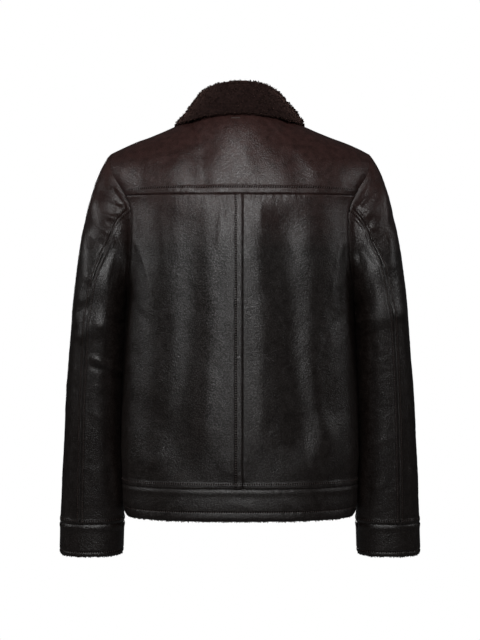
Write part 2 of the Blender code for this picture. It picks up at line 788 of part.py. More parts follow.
def make_collar():
    half = spread(0.0, COLLAR_LAST_TURN, 13)
    turns = [-turn for turn in reversed(half[1:])] + half
    outer, inner = [], []
    for turn in turns:
        path, faces = collar_path(abs(turn))
        side = 1 if turn >= 0 else -1
        seam = neck_point(abs(turn))
        faces = math.radians(faces)
        out = Vector((math.sin(faces), math.cos(faces), 0.0))
        pile, skin = [], []
        for index, point in enumerate(path):
            before = path[max(index - 1, 0)]
            after = path[min(index + 1, len(path) - 1)]
            way = (after - before).normalized()
            under = point + Vector((way.y, -way.x)) * COLLAR_WALL
            for place, store in ((point, pile), (under, skin)):
                spot = seam + out * place.x + Vector((0.0, 0.0, place.y))
                store.append(mirrored(spot, side))
        outer.append(pile)
        inner.append(skin)
    wall("collar", outer, inner, pile_finish)


# ---------------------------------------------------------------- the zip


def zip_surface(x, place):
    """A point of the fronts' outer surface at a place up the zip, out from the middle."""

    def at(u):
        if place < 0:
            height = HEM_SEAM + (HEM_SEAM - HEM_BOTTOM) * place
            return body_point(u, height, 1, False, FRONT_EDGE_X)
        return front_surface(1)(u, place)

    low, high = -0.2, 0.4
    for _ in range(24):
        middle = (low + high) / 2
        if at(middle).x < x:
            low = middle
        else:
            high = middle
    return at(low)


def zip_frame(place):
    """A frame at a place up the zip: Y out of the fronts' surface, Z up the zip."""
    here = zip_surface(0.0, place)
    step = zip_surface(0.0, place + 0.01) - zip_surface(0.0, place - 0.01)
    up = step.normalized()
    out = Vector((0.0, -up.z, up.y))
    across = out.cross(up)
    turned = Matrix((across, out, up)).transposed().to_4x4()
    return Matrix.Translation(here) @ turned


def zip_point(x, place, depth):
    """A point below the fronts' surface, at a place up the zip."""
    here = zip_surface(abs(x), place)
    reach = max(abs(x), FRONT_EDGE_X)
    across = zip_surface(reach + 0.001, place) - zip_surface(reach - 0.001, place)
    up = zip_surface(abs(x), place + 0.01) - zip_surface(abs(x), place - 0.01)
    inwards = up.cross(across).normalized()
    if abs(x) < FRONT_EDGE_X:
        inwards = Vector((0.0, inwards.y, inwards.z)).normalized()
    inwards.y = abs(inwards.y)
    here += inwards * depth
    here.x = math.copysign(here.x, x)
    return here


def zip_places(start, end):
    """Places up the zip where its tapes and chain have a row of points."""
    places = spread(TAPE_START, 0.0, 2) + spread(0.0, 1.0, 10)[1:]
    places += spread(1.0, TAPE_END, 6)[1:]
    return [start] + [p for p in places if start + 0.05 < p < end - 0.05] + [end]


def make_tapes():
    places = zip_places(TAPE_START, TAPE_END)
    edges = (TAPE_INNER_X, TAPE_OUTER_X)
    for side, word in ((1, "left"), (-1, "right")):
        outer, inner = [], []
        for place in places:
            rows = ((outer, TAPE_DEPTH), (inner, TAPE_DEPTH + TAPE_WALL))
            for store, depth in rows:
                store.append([zip_point(side * x, place, depth) for x in edges])
        wall(f"zip_tape_{word}", outer, inner, tape_finish)


def make_chain():
    """The two rows of teeth, closed and seen as one band that ends below the slider."""
    slider_at = zip_surface(0.0, SLIDER_PLACE)
    clear = SLIDER_LENGTH / 2 + 2 * SEAM_GAP
    end = SLIDER_PLACE
    while (zip_surface(0.0, end) - slider_at).length < clear:
        end -= 0.002
    sides = (-CHAIN_HALF_WIDTH, CHAIN_HALF_WIDTH)
    outer, inner = [], []
    for place in zip_places(CHAIN_START, end):
        for store, facing in ((outer, -1), (inner, 1)):
            depth = CHAIN_DEPTH + facing * CHAIN_THICKNESS / 2
            store.append([zip_point(x, place, depth) for x in sides])
    wall("zip_chain", outer, inner, metal)


def make_slider():
    """Two plates on a post, and an arch over the front plate that holds the pull's pin."""
    frame = zip_frame(SLIDER_PLACE)
    front = slider_front()
    back = -CHAIN_DEPTH - (SLIDER_PLATE_GAP + SLIDER_PLATE) / 2
    plate = (SLIDER_WIDTH, SLIDER_PLATE, SLIDER_LENGTH)
    middle = (0.0, front - SLIDER_PLATE / 2, 0.0)
    slider = block("zip_slider", plate, middle, frame, metal, METAL_BEVEL)
    middle = (0.0, back, 0.0)
    back_plate = block("slider_back", plate, middle, frame, metal, METAL_BEVEL)
    size = (SLIDER_POST_WIDTH, SLIDER_PLATE_GAP + SLIDER_PLATE, SLIDER_POST_LENGTH)
    middle = (0.0, -CHAIN_DEPTH, (SLIDER_LENGTH - SLIDER_POST_LENGTH) / 2 - METAL_BEVEL)
    post = block("slider_post", size, middle, frame, metal)
    reach = PIN_HEIGHT + SLIDER_ARCH_OVER_PIN
    size = (SLIDER_ARCH_WIDTH, reach + SLIDER_ROOT, SLIDER_ARCH_LENGTH)
    middle = (0.0, front + (reach - SLIDER_ROOT) / 2, 0.0)
    arch = block("slider_arch", size, middle, frame, metal)
    pin_at = (0.0, front + PIN_HEIGHT, 0.0)
    hole = rod("pin_hole", PIN_HOLE_RADIUS, CUT_THROUGH, pin_at, frame, metal)
    for joined in (back_plate, post, arch):
        combine(slider, joined, "UNION")
    combine(slider, hole, "DIFFERENCE")


def slider_front():
    """How far out of the fronts' surface the slider's front face is."""
    return -CHAIN_DEPTH + SLIDER_PLATE_GAP / 2 + SLIDER_PLATE


def make_pull():
    """The pull tab, which swings on its pin. Its origin is on the pin's axis."""
    slider_frame = zip_frame(SLIDER_PLACE)
    pin_at = slider_frame @ Vector((0.0, slider_front() + PIN_HEIGHT, 0.0))
    turned = slider_frame.to_3x3().to_4x4()
    frame = turned @ Matrix.Rotation(math.radians(PULL_LEAN), 4, "X")
    size = (PULL_WIDTH, PULL_THICKNESS, PULL_LENGTH)
    middle = (0.0, 0.0, PULL_HEAD - PULL_LENGTH / 2)
    pull = block("zip_pull", size, middle, frame, metal, PULL_BEVEL)
    size = (PULL_EYE_WIDTH, CUT_THROUGH, PULL_EYE_LENGTH)
    middle = (0.0, 0.0, PULL_EYE_OVER_PIN - PULL_EYE_LENGTH / 2)
    eye = block("pull_eye", size, middle, frame, metal)
    length = PULL_WIDTH - PIN_SHORT
    pin = rod("pull_pin", PIN_RADIUS, length, (0.0, 0.0, 0.0), frame, metal)
    for piece in (pull, eye, pin):
        piece.location = pin_at
    combine(pull, eye, "DIFFERENCE")
    combine(pull, pin, "UNION")


def make_zip_box():
    frame = zip_frame(ZIP_BOX_PLACE)
    middle = (0.0, -TAPE_DEPTH + SEAM_GAP + ZIP_BOX_SIZE[1] / 2, 0.0)
    box = block("zip_box", ZIP_BOX_SIZE, middle, frame, metal, METAL_BEVEL)
    size = (2 * CHAIN_HALF_WIDTH, CHAIN_THICKNESS, ZIP_BOX_CORE_LENGTH)
    middle = (0.0, -CHAIN_DEPTH, 0.0)
    core = block("zip_box_core", size, middle, frame, metal)
    combine(box, core, "UNION")


def block(name, size, middle, frame, finish_of, bevel=0.0):
    """A bevelled box of a size about a middle, in a frame of its own."""

    def fill(made):
        bmesh.ops.create_cube(made, size=1.0)
        bmesh.ops.scale(made, vec=size, verts=made.verts[:])
        if bevel:
            bmesh.ops.bevel(
                made,
                geom=made.edges[:],
                offset=bevel,
                segments=1,
                profile=0.5,
                affect="EDGES",
            )
        bmesh.ops.translate(made, vec=middle, verts=made.verts[:])
        bmesh.ops.transform(made, matrix=frame, verts=made.verts[:])
        bmesh.ops.recalc_face_normals(made, faces=made.faces[:])

    return new_piece(name, fill, finish_of)


def rod(name, radius, length, middle, frame, finish_of):
    """A round rod that lies along X about a middle, in a frame of its own."""
    upright = Matrix.Rotation(math.radians(90), 4, "Y")

    def fill(made):
        bmesh.ops.create_cone(
            made,
            cap_ends=True,
            segments=12,
            radius1=radius,
            radius2=radius,
            depth=length,
            matrix=frame @ Matrix.Translation(middle) @ upright,
        )
        bmesh.ops.recalc_face_normals(made, faces=made.faces[:])

    return new_piece(name, fill, finish_of)


def combine(piece, tool, operation):
    """Joins a tool to a piece, or cuts it out, and puts the tool with the cutters."""
    step = piece.modifiers.new(tool.name, "BOOLEAN")
    step.object = tool
    step.operation = operation
    step.solver = "EXACT"
    jacket.objects.unlink(tool)
    cutters.objects.link(tool)
    tool.hide_render = True
    tool.display_type = "WIRE"


for old in list(bpy.data.objects):
    bpy.data.objects.remove(old)
jacket = bpy.data.collections.new("leather_jacket")
cutters = bpy.data.collections.new("cutters")
bpy.context.scene.collection.children.link(jacket)
bpy.context.scene.collection.children.link(cutters)

leather = finish("dark brown leather", LEATHER, 0.42)
pile_finish = finish("brown clipped pile", PILE, 0.95)
tape_finish = finish("woven zip tape", TAPE, 0.8)
metal = finish("zip metal", METAL, 0.35, 1.0)

make_back()
make_fronts()
make_hem_band()
make_sleeves()
make_collar()
make_tapes()
make_chain()
make_slider()
make_pull()
make_zip_box()
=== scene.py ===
"""The leather jacket as it looks: leather cut pieces with their creases, seams and
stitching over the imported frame, a curly pile collar and a metal zip.

Metres. X runs to the wearer's left, the back faces +Y and Z is up.
"""

import math
from collections import namedtuple

import bmesh
import bpy
import numpy as np
from mathutils import Matrix, Vector, noise


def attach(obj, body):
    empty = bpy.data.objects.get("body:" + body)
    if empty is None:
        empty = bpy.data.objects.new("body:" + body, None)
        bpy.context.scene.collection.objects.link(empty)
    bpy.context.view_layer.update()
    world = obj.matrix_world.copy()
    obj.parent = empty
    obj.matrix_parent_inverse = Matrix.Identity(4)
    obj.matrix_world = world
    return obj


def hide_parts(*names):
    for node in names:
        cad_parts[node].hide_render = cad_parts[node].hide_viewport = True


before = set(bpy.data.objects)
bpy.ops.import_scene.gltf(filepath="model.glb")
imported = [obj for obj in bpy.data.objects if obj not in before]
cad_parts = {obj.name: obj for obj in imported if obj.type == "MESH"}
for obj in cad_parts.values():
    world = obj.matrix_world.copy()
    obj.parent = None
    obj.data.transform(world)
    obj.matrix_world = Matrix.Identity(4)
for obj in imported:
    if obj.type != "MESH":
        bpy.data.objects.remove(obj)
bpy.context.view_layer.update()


# ---------------------------------------------------------------- back panels
# Two panels of sheepskin, skin side out, joined by a seam just beside the centre of the
# back. The allowance of that seam is pressed to the wearer's left and stitched down.
# They hang from the yoke in soft troughs that lean out towards the hem.

PIECE_WALL = 0.0040  # skin and clipped pile together
SEAM_GAP = 0.0003
HEM_BOTTOM = -0.666
HEM_SEAM = -0.6145
YOKE_SEAM = -0.146
CHEST_LINE = -0.172
ARM_BOTTOM = -0.320
SHOULDER_TIP_HEIGHT = -0.072
CENTRE_BACK_SEAM_X = -0.004
FRONT_EDGE_X = 0.0062
CLOTH_STEP = 0.0028  # between the points of a leather piece

BodyRing = namedtuple("BodyRing", "height half_width back front")
BODY_RINGS = (
    BodyRing(-0.666, 0.1895, 0.1290, 0.1255),
    BodyRing(-0.640, 0.1915, 0.1305, 0.1280),
    BodyRing(-0.6145, 0.1910, 0.1300, 0.1275),
    BodyRing(-0.560, 0.1945, 0.1320, 0.1310),
    BodyRing(-0.480, 0.1935, 0.1320, 0.1335),
    BodyRing(-0.400, 0.1905, 0.1315, 0.1370),
    BodyRing(-0.320, 0.1875, 0.1310, 0.1405),
    BodyRing(-0.250, 0.1875, 0.1290, 0.1405),
    BodyRing(-0.200, 0.1875, 0.1255, 0.1370),
    BodyRing(-0.146, 0.1875, 0.1170, 0.1270),
    BodyRing(-0.060, 0.1875, 0.0900, 0.0950),
)
SQUARENESS = 2.7  # 2 would make each ring an ellipse

ArmholeRow = namedtuple("ArmholeRow", "height out")
ARMHOLE_ROWS = (
    ArmholeRow(-0.320, 0.1875),
    ArmholeRow(-0.285, 0.1835),
    ArmholeRow(-0.245, 0.1790),
    ArmholeRow(-0.200, 0.1770),
    ArmholeRow(-0.160, 0.1800),
    ArmholeRow(-0.134, 0.1960),
    ArmholeRow(-0.102, 0.2105),
    ArmholeRow(-0.072, 0.2150),
)
ARMHOLE_BACK = 0.067
ARMHOLE_FRONT = 0.070
ARMHOLE_FLATTENING = 0.85
SHOULDER_Y = -0.006

# The large soft folds, which the frame has too, seen from behind or in front.
DrapeFold = namedtuple("DrapeFold", "x_top z_top x_bottom z_bottom half_width depth")
BACK_FOLDS = (
    DrapeFold(0.058, -0.175, 0.098, -0.590, 0.030, -0.0060),
    DrapeFold(-0.066, -0.175, -0.100, -0.560, 0.032, -0.0065),
    DrapeFold(0.000, -0.190, 0.006, -0.600, 0.034, 0.0035),
    DrapeFold(0.125, -0.200, 0.140, -0.480, 0.026, 0.0035),
    DrapeFold(-0.130, -0.190, -0.146, -0.470, 0.026, 0.0035),
)
FRONT_FOLDS = (
    DrapeFold(0.070, -0.230, 0.085, -0.580, 0.030, -0.0045),
    DrapeFold(-0.075, -0.240, -0.095, -0.560, 0.030, -0.0050),
    DrapeFold(0.125, -0.240, 0.135, -0.520, 0.024, 0.0035),
    DrapeFold(-0.130, -0.230, -0.138, -0.500, 0.024, 0.0035),
)
FOLD_END = 0.06

# Creases, each a soft ridge or trough along a slightly bowed line, seen from behind.
Crease = namedtuple("Crease", "x_start z_start x_end z_end width height bow")
BACK_CREASES = (
    Crease(0.136, -0.190, 0.150, -0.520, 0.030, -0.0022, 0.000),
    Crease(0.108, -0.165, 0.124, -0.560, 0.024, -0.0028, 0.000),
    Crease(-0.132, -0.170, -0.146, -0.510, 0.030, -0.0044, 0.000),
    Crease(-0.112, -0.165, -0.152, -0.540, 0.026, -0.0026, 0.000),
    Crease(-0.080, -0.165, -0.104, -0.560, 0.026, -0.0030, 0.000),
    Crease(0.052, -0.150, 0.050, -0.560, 0.024, 0.0036, 0.001),
    Crease(-0.028, -0.150, -0.032, -0.560, 0.018, 0.0020, 0.001),
    Crease(0.102, -0.315, 0.120, -0.520, 0.016, 0.0016, 0.004),
    Crease(-0.098, -0.360, -0.150, -0.560, 0.018, 0.0016, -0.005),
    Crease(0.030, -0.152, 0.034, -0.235, 0.008, 0.0009, 0.002),
    Crease(-0.030, -0.152, -0.040, -0.225, 0.008, 0.0008, -0.002),
    Crease(0.146, -0.590, 0.120, -0.560, 0.010, 0.0012, 0.003),
    Crease(-0.140, -0.600, -0.110, -0.565, 0.010, 0.0010, 0.003),
    Crease(0.172, -0.215, 0.140, -0.330, 0.009, 0.0012, 0.006),
    Crease(-0.172, -0.215, -0.150, -0.330, 0.009, 0.0012, -0.006),
    Crease(0.168, -0.330, 0.120, -0.400, 0.010, -0.0009, 0.005),
    Crease(-0.170, -0.330, -0.125, -0.420, 0.010, -0.0010, -0.005),
    Crease(0.030, -0.585, -0.020, -0.600, 0.006, 0.0006, 0.001),
)
CREASE_END = 0.022  # length over which a crease dies out


def read(rows, key, column, at):
    """A column of a table on a smooth curve through its rows, at values of the key."""
    keys = np.array([getattr(row, key) for row in rows])
    values = np.array([getattr(row, column) for row in rows])
    at = np.clip(at, keys[0], keys[-1])
    place = np.clip(np.searchsorted(keys, at, side="right") - 1, 0, len(keys) - 2)
    slopes = np.diff(values) / np.diff(keys)
    before = slopes[np.maximum(place - 1, 0)]
    here = slopes[place]
    after = slopes[np.minimum(place + 1, len(slopes) - 1)]
    leave = np.where(before * here > 0, (before + here) / 2, 0.0)
    arrive = np.where(here * after > 0, (here + after) / 2, 0.0)
    span = keys[place + 1] - keys[place]
    share = (at - keys[place]) / span
    return hermite(
        values[place], leave * span, values[place + 1], arrive * span, share
    )


def hermite(start, leave, end, arrive, share):
    """The cubic from start to end with the given slopes."""
    square = share * share
    cube = square * share
    return (
        start * (2 * cube - 3 * square + 1)
        + leave * (cube - 2 * square + share)
        + end * (3 * square - 2 * cube)
        + arrive * (cube - square)
    )


def smooth_step(share):
    share = np.clip(share, 0.0, 1.0)
    return share * share * (3 - 2 * share)


def vectors(x, y, z):
    return np.stack(np.broadcast_arrays(x, y, z), axis=-1).astype(float)


def length_of(vector):
    return np.sqrt((vector * vector).sum(axis=-1))


def unit(vector):
    return vector / np.maximum(length_of(vector), 1e-12)[..., None]


def line_places(x, z, x_start, z_start, x_end, z_end):
    """How far along and across a line each place lies, and how long the line is."""
    run_x, run_z = x_end - x_start, z_end - z_start
    run = math.hypot(run_x, run_z)
    along = ((x - x_start) * run_x + (z - z_start) * run_z) / run
    across = ((x - x_start) * run_z - (z - z_start) * run_x) / run
    return along, across, run


def fold_lift(x, z, start, end, half_width, depth, fade_length):
    """How far one large fold lifts the cloth."""
    along, across, run = line_places(x, z, *start, *end)
    fade = smooth_step(np.minimum(along, run - along) / fade_length + 0.5)
    return depth * fade * np.exp(-((across / half_width) ** 2))


def folds_at(folds, x, z):
    total = 0.0
    for fold in folds:
        start, end = (fold.x_top, fold.z_top), (fold.x_bottom, fold.z_bottom)
        total = total + fold_lift(
            x, z, start, end, fold.half_width, fold.depth, FOLD_END
        )
    return total


def armhole(turn):
    """Points of the left armhole's edge. 0 is the shoulder tip, 90 back, 180 underarm."""
    turn = np.radians(turn)
    middle = (SHOULDER_TIP_HEIGHT + ARM_BOTTOM) / 2
    reach = (SHOULDER_TIP_HEIGHT - ARM_BOTTOM) / 2
    height = middle + reach * np.cos(turn)
    side = np.sin(turn)
    depth = np.where(side > 0, ARMHOLE_BACK, ARMHOLE_FRONT)
    depth = np.copysign(depth * np.abs(side) ** ARMHOLE_FLATTENING, side)
    top_share = ((1 + np.cos(turn)) / 2) ** 2
    out = read(ARMHOLE_ROWS, "height", "out", height)
    return vectors(out, depth + SHOULDER_Y * top_share, height)


def armhole_turn(height, back):
    """The turn at which the armhole's edge is at a height, at the back or front."""
    middle = (SHOULDER_TIP_HEIGHT + ARM_BOTTOM) / 2
    reach = (SHOULDER_TIP_HEIGHT - ARM_BOTTOM) / 2
    turn = np.degrees(np.arccos(np.clip((height - middle) / reach, -1.0, 1.0)))
    return turn if back else -turn


def body_point(across, height, side, back, centre_x):
    """The outer surface of a panel, from its centre edge (0) to its outer edge (1)."""
    across, height = np.broadcast_arrays(np.asarray(across, float), height)
    depth = read(BODY_RINGS, "height", "back" if back else "front", height)
    width = read(BODY_RINGS, "height", "half_width", height)
    edge = armhole(armhole_turn(height, back))
    high = height > ARM_BOTTOM
    spare = 1 - (np.abs(edge[..., 1]) / depth) ** SQUARENESS
    held = edge[..., 0] / np.maximum(spare, 0.05) ** (1 / SQUARENESS)
    width = np.where(high, held, width)
    at_arm = np.degrees(np.arctan2(edge[..., 0], np.abs(edge[..., 1])))
    last = np.where(high, at_arm, 90.0)
    start = np.degrees(np.arcsin(centre_x / depth))
    angle = np.radians(start + (last - start) * across)
    sine, cosine = np.sin(angle), np.cos(angle)
    radius = np.abs(sine / width) ** SQUARENESS + np.abs(cosine / depth) ** SQUARENESS
    radius = radius ** (-1 / SQUARENESS)
    x = radius * sine * side
    lift = folds_at(BACK_FOLDS if back else FRONT_FOLDS, x, height)
    y = (radius * cosine + lift) * (1 if back else -1)
    return vectors(x, y, height)


def from_axis(points):
    """Outwards on the body: away from its upright axis, and up on the shoulders."""
    return vectors(
        points[..., 0], points[..., 1], np.maximum(points[..., 2] + 0.16, 0.0)
    )


def lumps(points, size, seed):
    """Smooth noise, from -1 to 1, with lumps of a size, which may differ by axis."""
    scaled = (points / np.asarray(size) + seed).reshape(-1, 3).tolist()
    return np.array([noise.noise(place) for place in scaled]).reshape(
        points.shape[:-1]
    )


def crease_lift(creases, points):
    """How far a table's creases lift the cloth. Their lines wander a little."""
    wander = 0.0030 * lumps(points, 0.035, 3.1) + 0.0012 * lumps(points, 0.012, 8.7)
    x, z = points[..., 0] + wander, points[..., 2] + wander
    total = np.zeros(x.shape)
    for crease in creases:
        along, across, run = line_places(
            x, z, crease.x_start, crease.z_start, crease.x_end, crease.z_end
        )
        share = np.clip(along / run, 0.0, 1.0)
        across = across - crease.bow * 4 * share * (1 - share)
        fading = max(CREASE_END, 2.4 * crease.width)
        fade = smooth_step(np.minimum(along, run - along) / fading + 0.25)
        steep = np.where(across > 0, 1.0, 1.5) / crease.width
        crest = np.sqrt((across * steep) ** 2 + 0.06) - math.sqrt(0.06)
        sharp = np.exp(-1.7 * crest**1.3)
        soft = np.exp(-1.1 * (across / crease.width) ** 2)
        broad = smooth_step((crease.width - 0.008) / 0.006)
        total += crease.height * fade * (sharp + (soft - sharp) * broad)
    return total


def grid_normals(points, outward):
    """Unit normals of a grid of points, turned the way outward points."""
    across = np.gradient(points, axis=1)
    up = np.gradient(points, axis=0)
    normals = unit(np.cross(across, up))
    inward = (normals * outward(points)).sum(axis=-1).mean() < 0
    return -normals if inward else normals


def run_lengths(points, axis):
    """How far along its row or column each point of a grid lies, from the first."""
    steps = length_of(np.diff(points, axis=axis))
    start = np.zeros_like(np.take(steps, [0], axis=axis))
    return np.concatenate([start, np.cumsum(steps, axis=axis)], axis=axis)


SEAM_DISTANCES = (0.0, 0.0005, 0.0011, 0.0018, 0.0027, 0.0038, 0.0050, 0.0063, 0.0076)
ROW_SHIFTS = (-0.0023, -0.0016, -0.0010, -0.0005, 0.0, 0.0005, 0.0010, 0.0016, 0.0023)


def near_seam(stitched_at):
    """Distances from a seam of close rows of points, also either side of a stitch row."""
    rows = list(SEAM_DISTANCES)
    if stitched_at:
        rows = [place for place in rows if place < stitched_at - 0.0030]
        rows += [stitched_at + shift for shift in ROW_SHIFTS]
    return np.array(rows)


def places_along(line, params, step, start_row=None, end_row=None):
    """Parameters for rows of points a step apart, and closer beside a seam and a row of
    stitches. line is a function from parameters to points."""
    fine = np.linspace(params[0], params[-1], 400)
    runs = run_lengths(line(fine), 0)
    first = near_seam(start_row)
    last = runs[-1] - near_seam(end_row)[::-1]
    count = max(int(round((last[0] - first[-1]) / step)), 2)
    middle = np.linspace(first[-1], last[0], count + 1)[1:-1]
    wanted = np.concatenate([first, middle, last])
    return np.interp(wanted, runs, fine)


Grid = namedtuple("Grid", "points normals s s_end t t_end lift")


SHARED_REACH = 0.006


def cloth_grid(surface, us, vs, outward, lift, shared="right"):
    """A leather piece's outer face as a grid, from the frame's surface and a fine lift.
    Near its shared edges it is lifted straight out from the body's axis, like the piece
    next to it, so that no gap opens."""
    u, v = np.meshgrid(us, vs)
    plain = surface(u, v)
    normals = grid_normals(plain, outward)
    s, t = run_lengths(plain, 1), run_lengths(plain, 0)
    s_end, t_end = s[:, -1:] - s, t[-1:, :] - t
    height = lift(plain, normals, s, s_end, t, t_end)
    away = {"right": s_end, "both": np.minimum(s, s_end), "low": t}[shared]
    share = np.exp(-((away / SHARED_REACH) ** 2))[..., None]
    way = unit(normals * (1 - share) + unit(from_axis(plain)) * share)
    points = plain + way * height[..., None]
    return Grid(points, normals, s, s_end, t, t_end, height)


def drawn_in(points, closed):
    """Draws a grid's edges in by half a seam gap."""
    points = points.copy()
    if not closed:
        points[:, 0] += unit(points[:, 1] - points[:, 0]) * SEAM_GAP / 2
        points[:, -1] += unit(points[:, -2] - points[:, -1]) * SEAM_GAP / 2
    points[0] += unit(points[1] - points[0]) * SEAM_GAP / 2
    points[-1] += unit(points[-2] - points[-1]) * SEAM_GAP / 2
    return points


def add_piece(name, made, finishes, sharp=52):
    """A named object from a bmesh, smooth but for its sharp edges."""
    mesh = bpy.data.meshes.new(name)
    made.to_mesh(mesh)
    made.free()
    for one in finishes:
        mesh.materials.append(one)
    mesh.shade_smooth()
    mesh.set_sharp_from_angle(angle=math.radians(sharp))
    piece = bpy.data.objects.new(name, mesh)
    bpy.context.scene.collection.objects.link(piece)
    return piece


def make_wall(name, grid, finishes, wall=PIECE_WALL, closed=False, inner=None, kept=()):
    """A closed wall with the grid as its outer face and a pile face a wall's thickness in.
    It keeps its place on the flat cut, and an attribute for each name and array in kept."""
    rows, columns = grid.points.shape[:2]
    if inner is None:
        follow = np.maximum(grid.lift * 0.5, -0.0015)
        inner = grid.points - grid.normals * (follow + wall)[..., None]
    outer = drawn_in(grid.points, closed).reshape(-1, 3)
    inner = drawn_in(inner, closed).reshape(-1, 3)
    made = bmesh.new()
    number = made.verts.layers.int.new("number")
    bmesh.ops.create_grid(made, x_segments=columns - 1, y_segments=rows - 1, size=1)
    for index, (vert, place) in enumerate(zip(made.verts, outer.tolist())):
        vert[number] = index
        vert.co = place
    if closed:
        bmesh.ops.remove_doubles(made, verts=made.verts[:], dist=1e-6)
    grown = bmesh.ops.extrude_face_region(made, geom=made.faces[:], use_keep_orig=True)
    inner = inner.tolist()
    for item in grown["geom"]:
        if isinstance(item, bmesh.types.BMVert):
            item.co = inner[item[number]]
        elif isinstance(item, bmesh.types.BMFace):
            item.material_index = 1
    bmesh.ops.recalc_face_normals(made, faces=made.faces[:])
    piece = add_piece(name, made, finishes)
    mesh = piece.data
    numbers = np.empty(len(mesh.vertices), np.int32)
    mesh.attributes["number"].data.foreach_get("value", numbers)
    for label, values in kept:
        layer = mesh.attributes.new(label, "FLOAT", "POINT")
        layer.data.foreach_set("value", values.reshape(-1)[numbers].astype(np.float32))
    corners = np.empty(len(mesh.loops), np.int32)
    mesh.loops.foreach_get("vertex_index", corners)
    flat = np.stack([grid.s.reshape(-1), grid.t.reshape(-1)], axis=-1)
    layer = mesh.uv_layers.new(name="cut")
    layer.data.foreach_set(
        "uv", flat[numbers[corners]].astype(np.float32).reshape(-1)
    )
    mesh.attributes.remove(mesh.attributes["number"])
    return piece


def leather_piece(name, nodes, grid, rows=(), closed=False):
    """A leather wall that stands for its CAD nodes and rides on the jacket. Each row is
    an edge of its grid and how far from it the stitches run. It gives the rows' lines."""
    # sewn and along place the needle holes and their painted pucker shade in the leather's
    # finish.
    sewn, along = np.zeros(grid.s.shape), np.zeros(grid.s.shape)
    for edge, distance in rows:
        away, run = from_edge(grid, edge)
        near = np.exp(-(((away - distance) / PUCKER_REACH) ** 2))
        along = np.where(near > sewn, run / STITCH_STEP, along)
        sewn = np.maximum(near, sewn)
    kept = (("relief", grid.lift * 1000), ("sewn", sewn), ("along", along))
    piece = make_wall(name, grid, (leather, inner_pile), closed=closed, kept=kept)
    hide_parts(*nodes)
    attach(piece, "jacket")
    return [row_at(grid, edge, distance) for edge, distance in rows]


def stitch_form():
    """One stitch, 1 m long along X and to be scaled: a low-sided drop of thread."""
    made = bmesh.new()
    bmesh.ops.create_uvsphere(made, u_segments=6, v_segments=4, radius=0.5)
    turn = Matrix.Rotation(math.radians(90), 3, "Y")
    bmesh.ops.rotate(made, matrix=turn, verts=made.verts[:])
    verts = np.array([vert.co[:] for vert in made.verts])
    made.verts.index_update()
    faces = [[vert.index for vert in face.verts] for face in made.faces]
    made.free()
    return verts, faces


def copies(name, form, centres, along, up, sizes, finishes, smooth=True):
    """One mesh of many copies of a form, each at its centre, turned and scaled."""
    verts, faces = form
    side = unit(np.cross(up, along))
    up = np.cross(along, side)
    sizes = np.broadcast_to(sizes, centres.shape)
    turned = (
        verts[None, :, 0:1] * (along * sizes[:, 0:1])[:, None, :]
        + verts[None, :, 1:2] * (side * sizes[:, 1:2])[:, None, :]
        + verts[None, :, 2:3] * (up * sizes[:, 2:3])[:, None, :]
        + centres[:, None, :]
    )
    count = len(verts)
    all_faces = [
        [index + copy * count for index in face]
        for copy in range(len(centres))
        for face in faces
    ]
    mesh = bpy.data.meshes.new(name)
    mesh.from_pydata(turned.reshape(-1, 3).tolist(), [], all_faces)
    for one in finishes:
        mesh.materials.append(one)
    if smooth:
        mesh.shade_smooth()
    piece = bpy.data.objects.new(name, mesh)
    bpy.context.scene.collection.objects.link(piece)
    return piece


STITCH_STEP = 0.0038
STITCH_SIZE = (0.0027, 0.00100, 0.00080)
STITCH_UP = 0.00015
PUCKER_REACH = 0.0017
Row = namedtuple("Row", "points normals along")


def from_edge(grid, edge):
    """How far each point of a grid is from an edge, and how far along that edge."""
    return {
        "left": (grid.s, grid.t),
        "right": (grid.s_end, grid.t),
        "low": (grid.t, grid.s),
        "high": (grid.t_end, grid.s),
    }[edge]


def row_at(grid, edge, distance):
    """The line on a grid at a distance from one of its edges: left, right, low or high."""
    away, run = from_edge(grid, edge)
    across = 1 if edge in ("left", "right") else 0
    fields = np.concatenate([grid.points, grid.normals, run[..., None]], axis=-1)
    found = []
    for index in range(away.shape[1 - across]):
        reach = np.take(away, index, axis=1 - across)
        values = np.take(fields, index, axis=1 - across)
        order = np.argsort(reach)
        found.append([np.interp(distance, reach[order], one[order]) for one in values.T])
    found = np.array(found)
    return Row(found[:, :3], unit(found[:, 3:6]), found[:, 6])


def stitches(name, rows, margins=0.003):
    """Rows of stitches as one mesh of thread. Between them the leather's finish has dark
    needle holes, darkened further with painted pucker shade.
    """
    centres, along, up = [], [], []
    for row in rows:
        first = math.ceil((row.along[0] + margins) / STITCH_STEP)
        last = int((row.along[-1] - margins) / STITCH_STEP)
        wanted = (np.arange(first, last) + 0.5) * STITCH_STEP

        def at(places, values, row=row):
            return np.stack([np.interp(places, row.along, one) for one in values.T], -1)

        centres.append(at(wanted, row.points))
        up.append(at(wanted, row.normals))
        before = at(wanted - 0.001, row.points)
        along.append(unit(centres[-1] - before))
    centres, along, up = (np.concatenate(parts) for parts in (centres, along, up))
    up = unit(up - along * (along * up).sum(axis=-1)[:, None])
    lying = centres + up * STITCH_UP
    piece = copies(name, stitch_form(), lying, along, up, STITCH_SIZE, (thread,))
    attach(piece, "jacket")


# The finishes of the leather pieces. Each shader stands outside the groups that give its
# masks and heights.


def new_group(name, inputs, outputs):
    """An empty node group with the given sockets."""
    group = bpy.data.node_groups.new(name, "ShaderNodeTree")
    for label, kind, value in inputs:
        socket = group.interface.new_socket(label, in_out="INPUT", socket_type=kind)
        if value is not None:
            socket.default_value = value
    for label, kind in outputs:
        group.interface.new_socket(label, in_out="OUTPUT", socket_type=kind)
    return group


def node(tree, kind, at, settings=None, values=None):
    """A node at a place, with its settings and the values of its sockets."""
    made = tree.nodes.new(kind)
    made.location = at
    for label, value in (settings or {}).items():
        setattr(made, label, value)
    for label, value in (values or {}).items():
        made.inputs[label].default_value = value
    return made


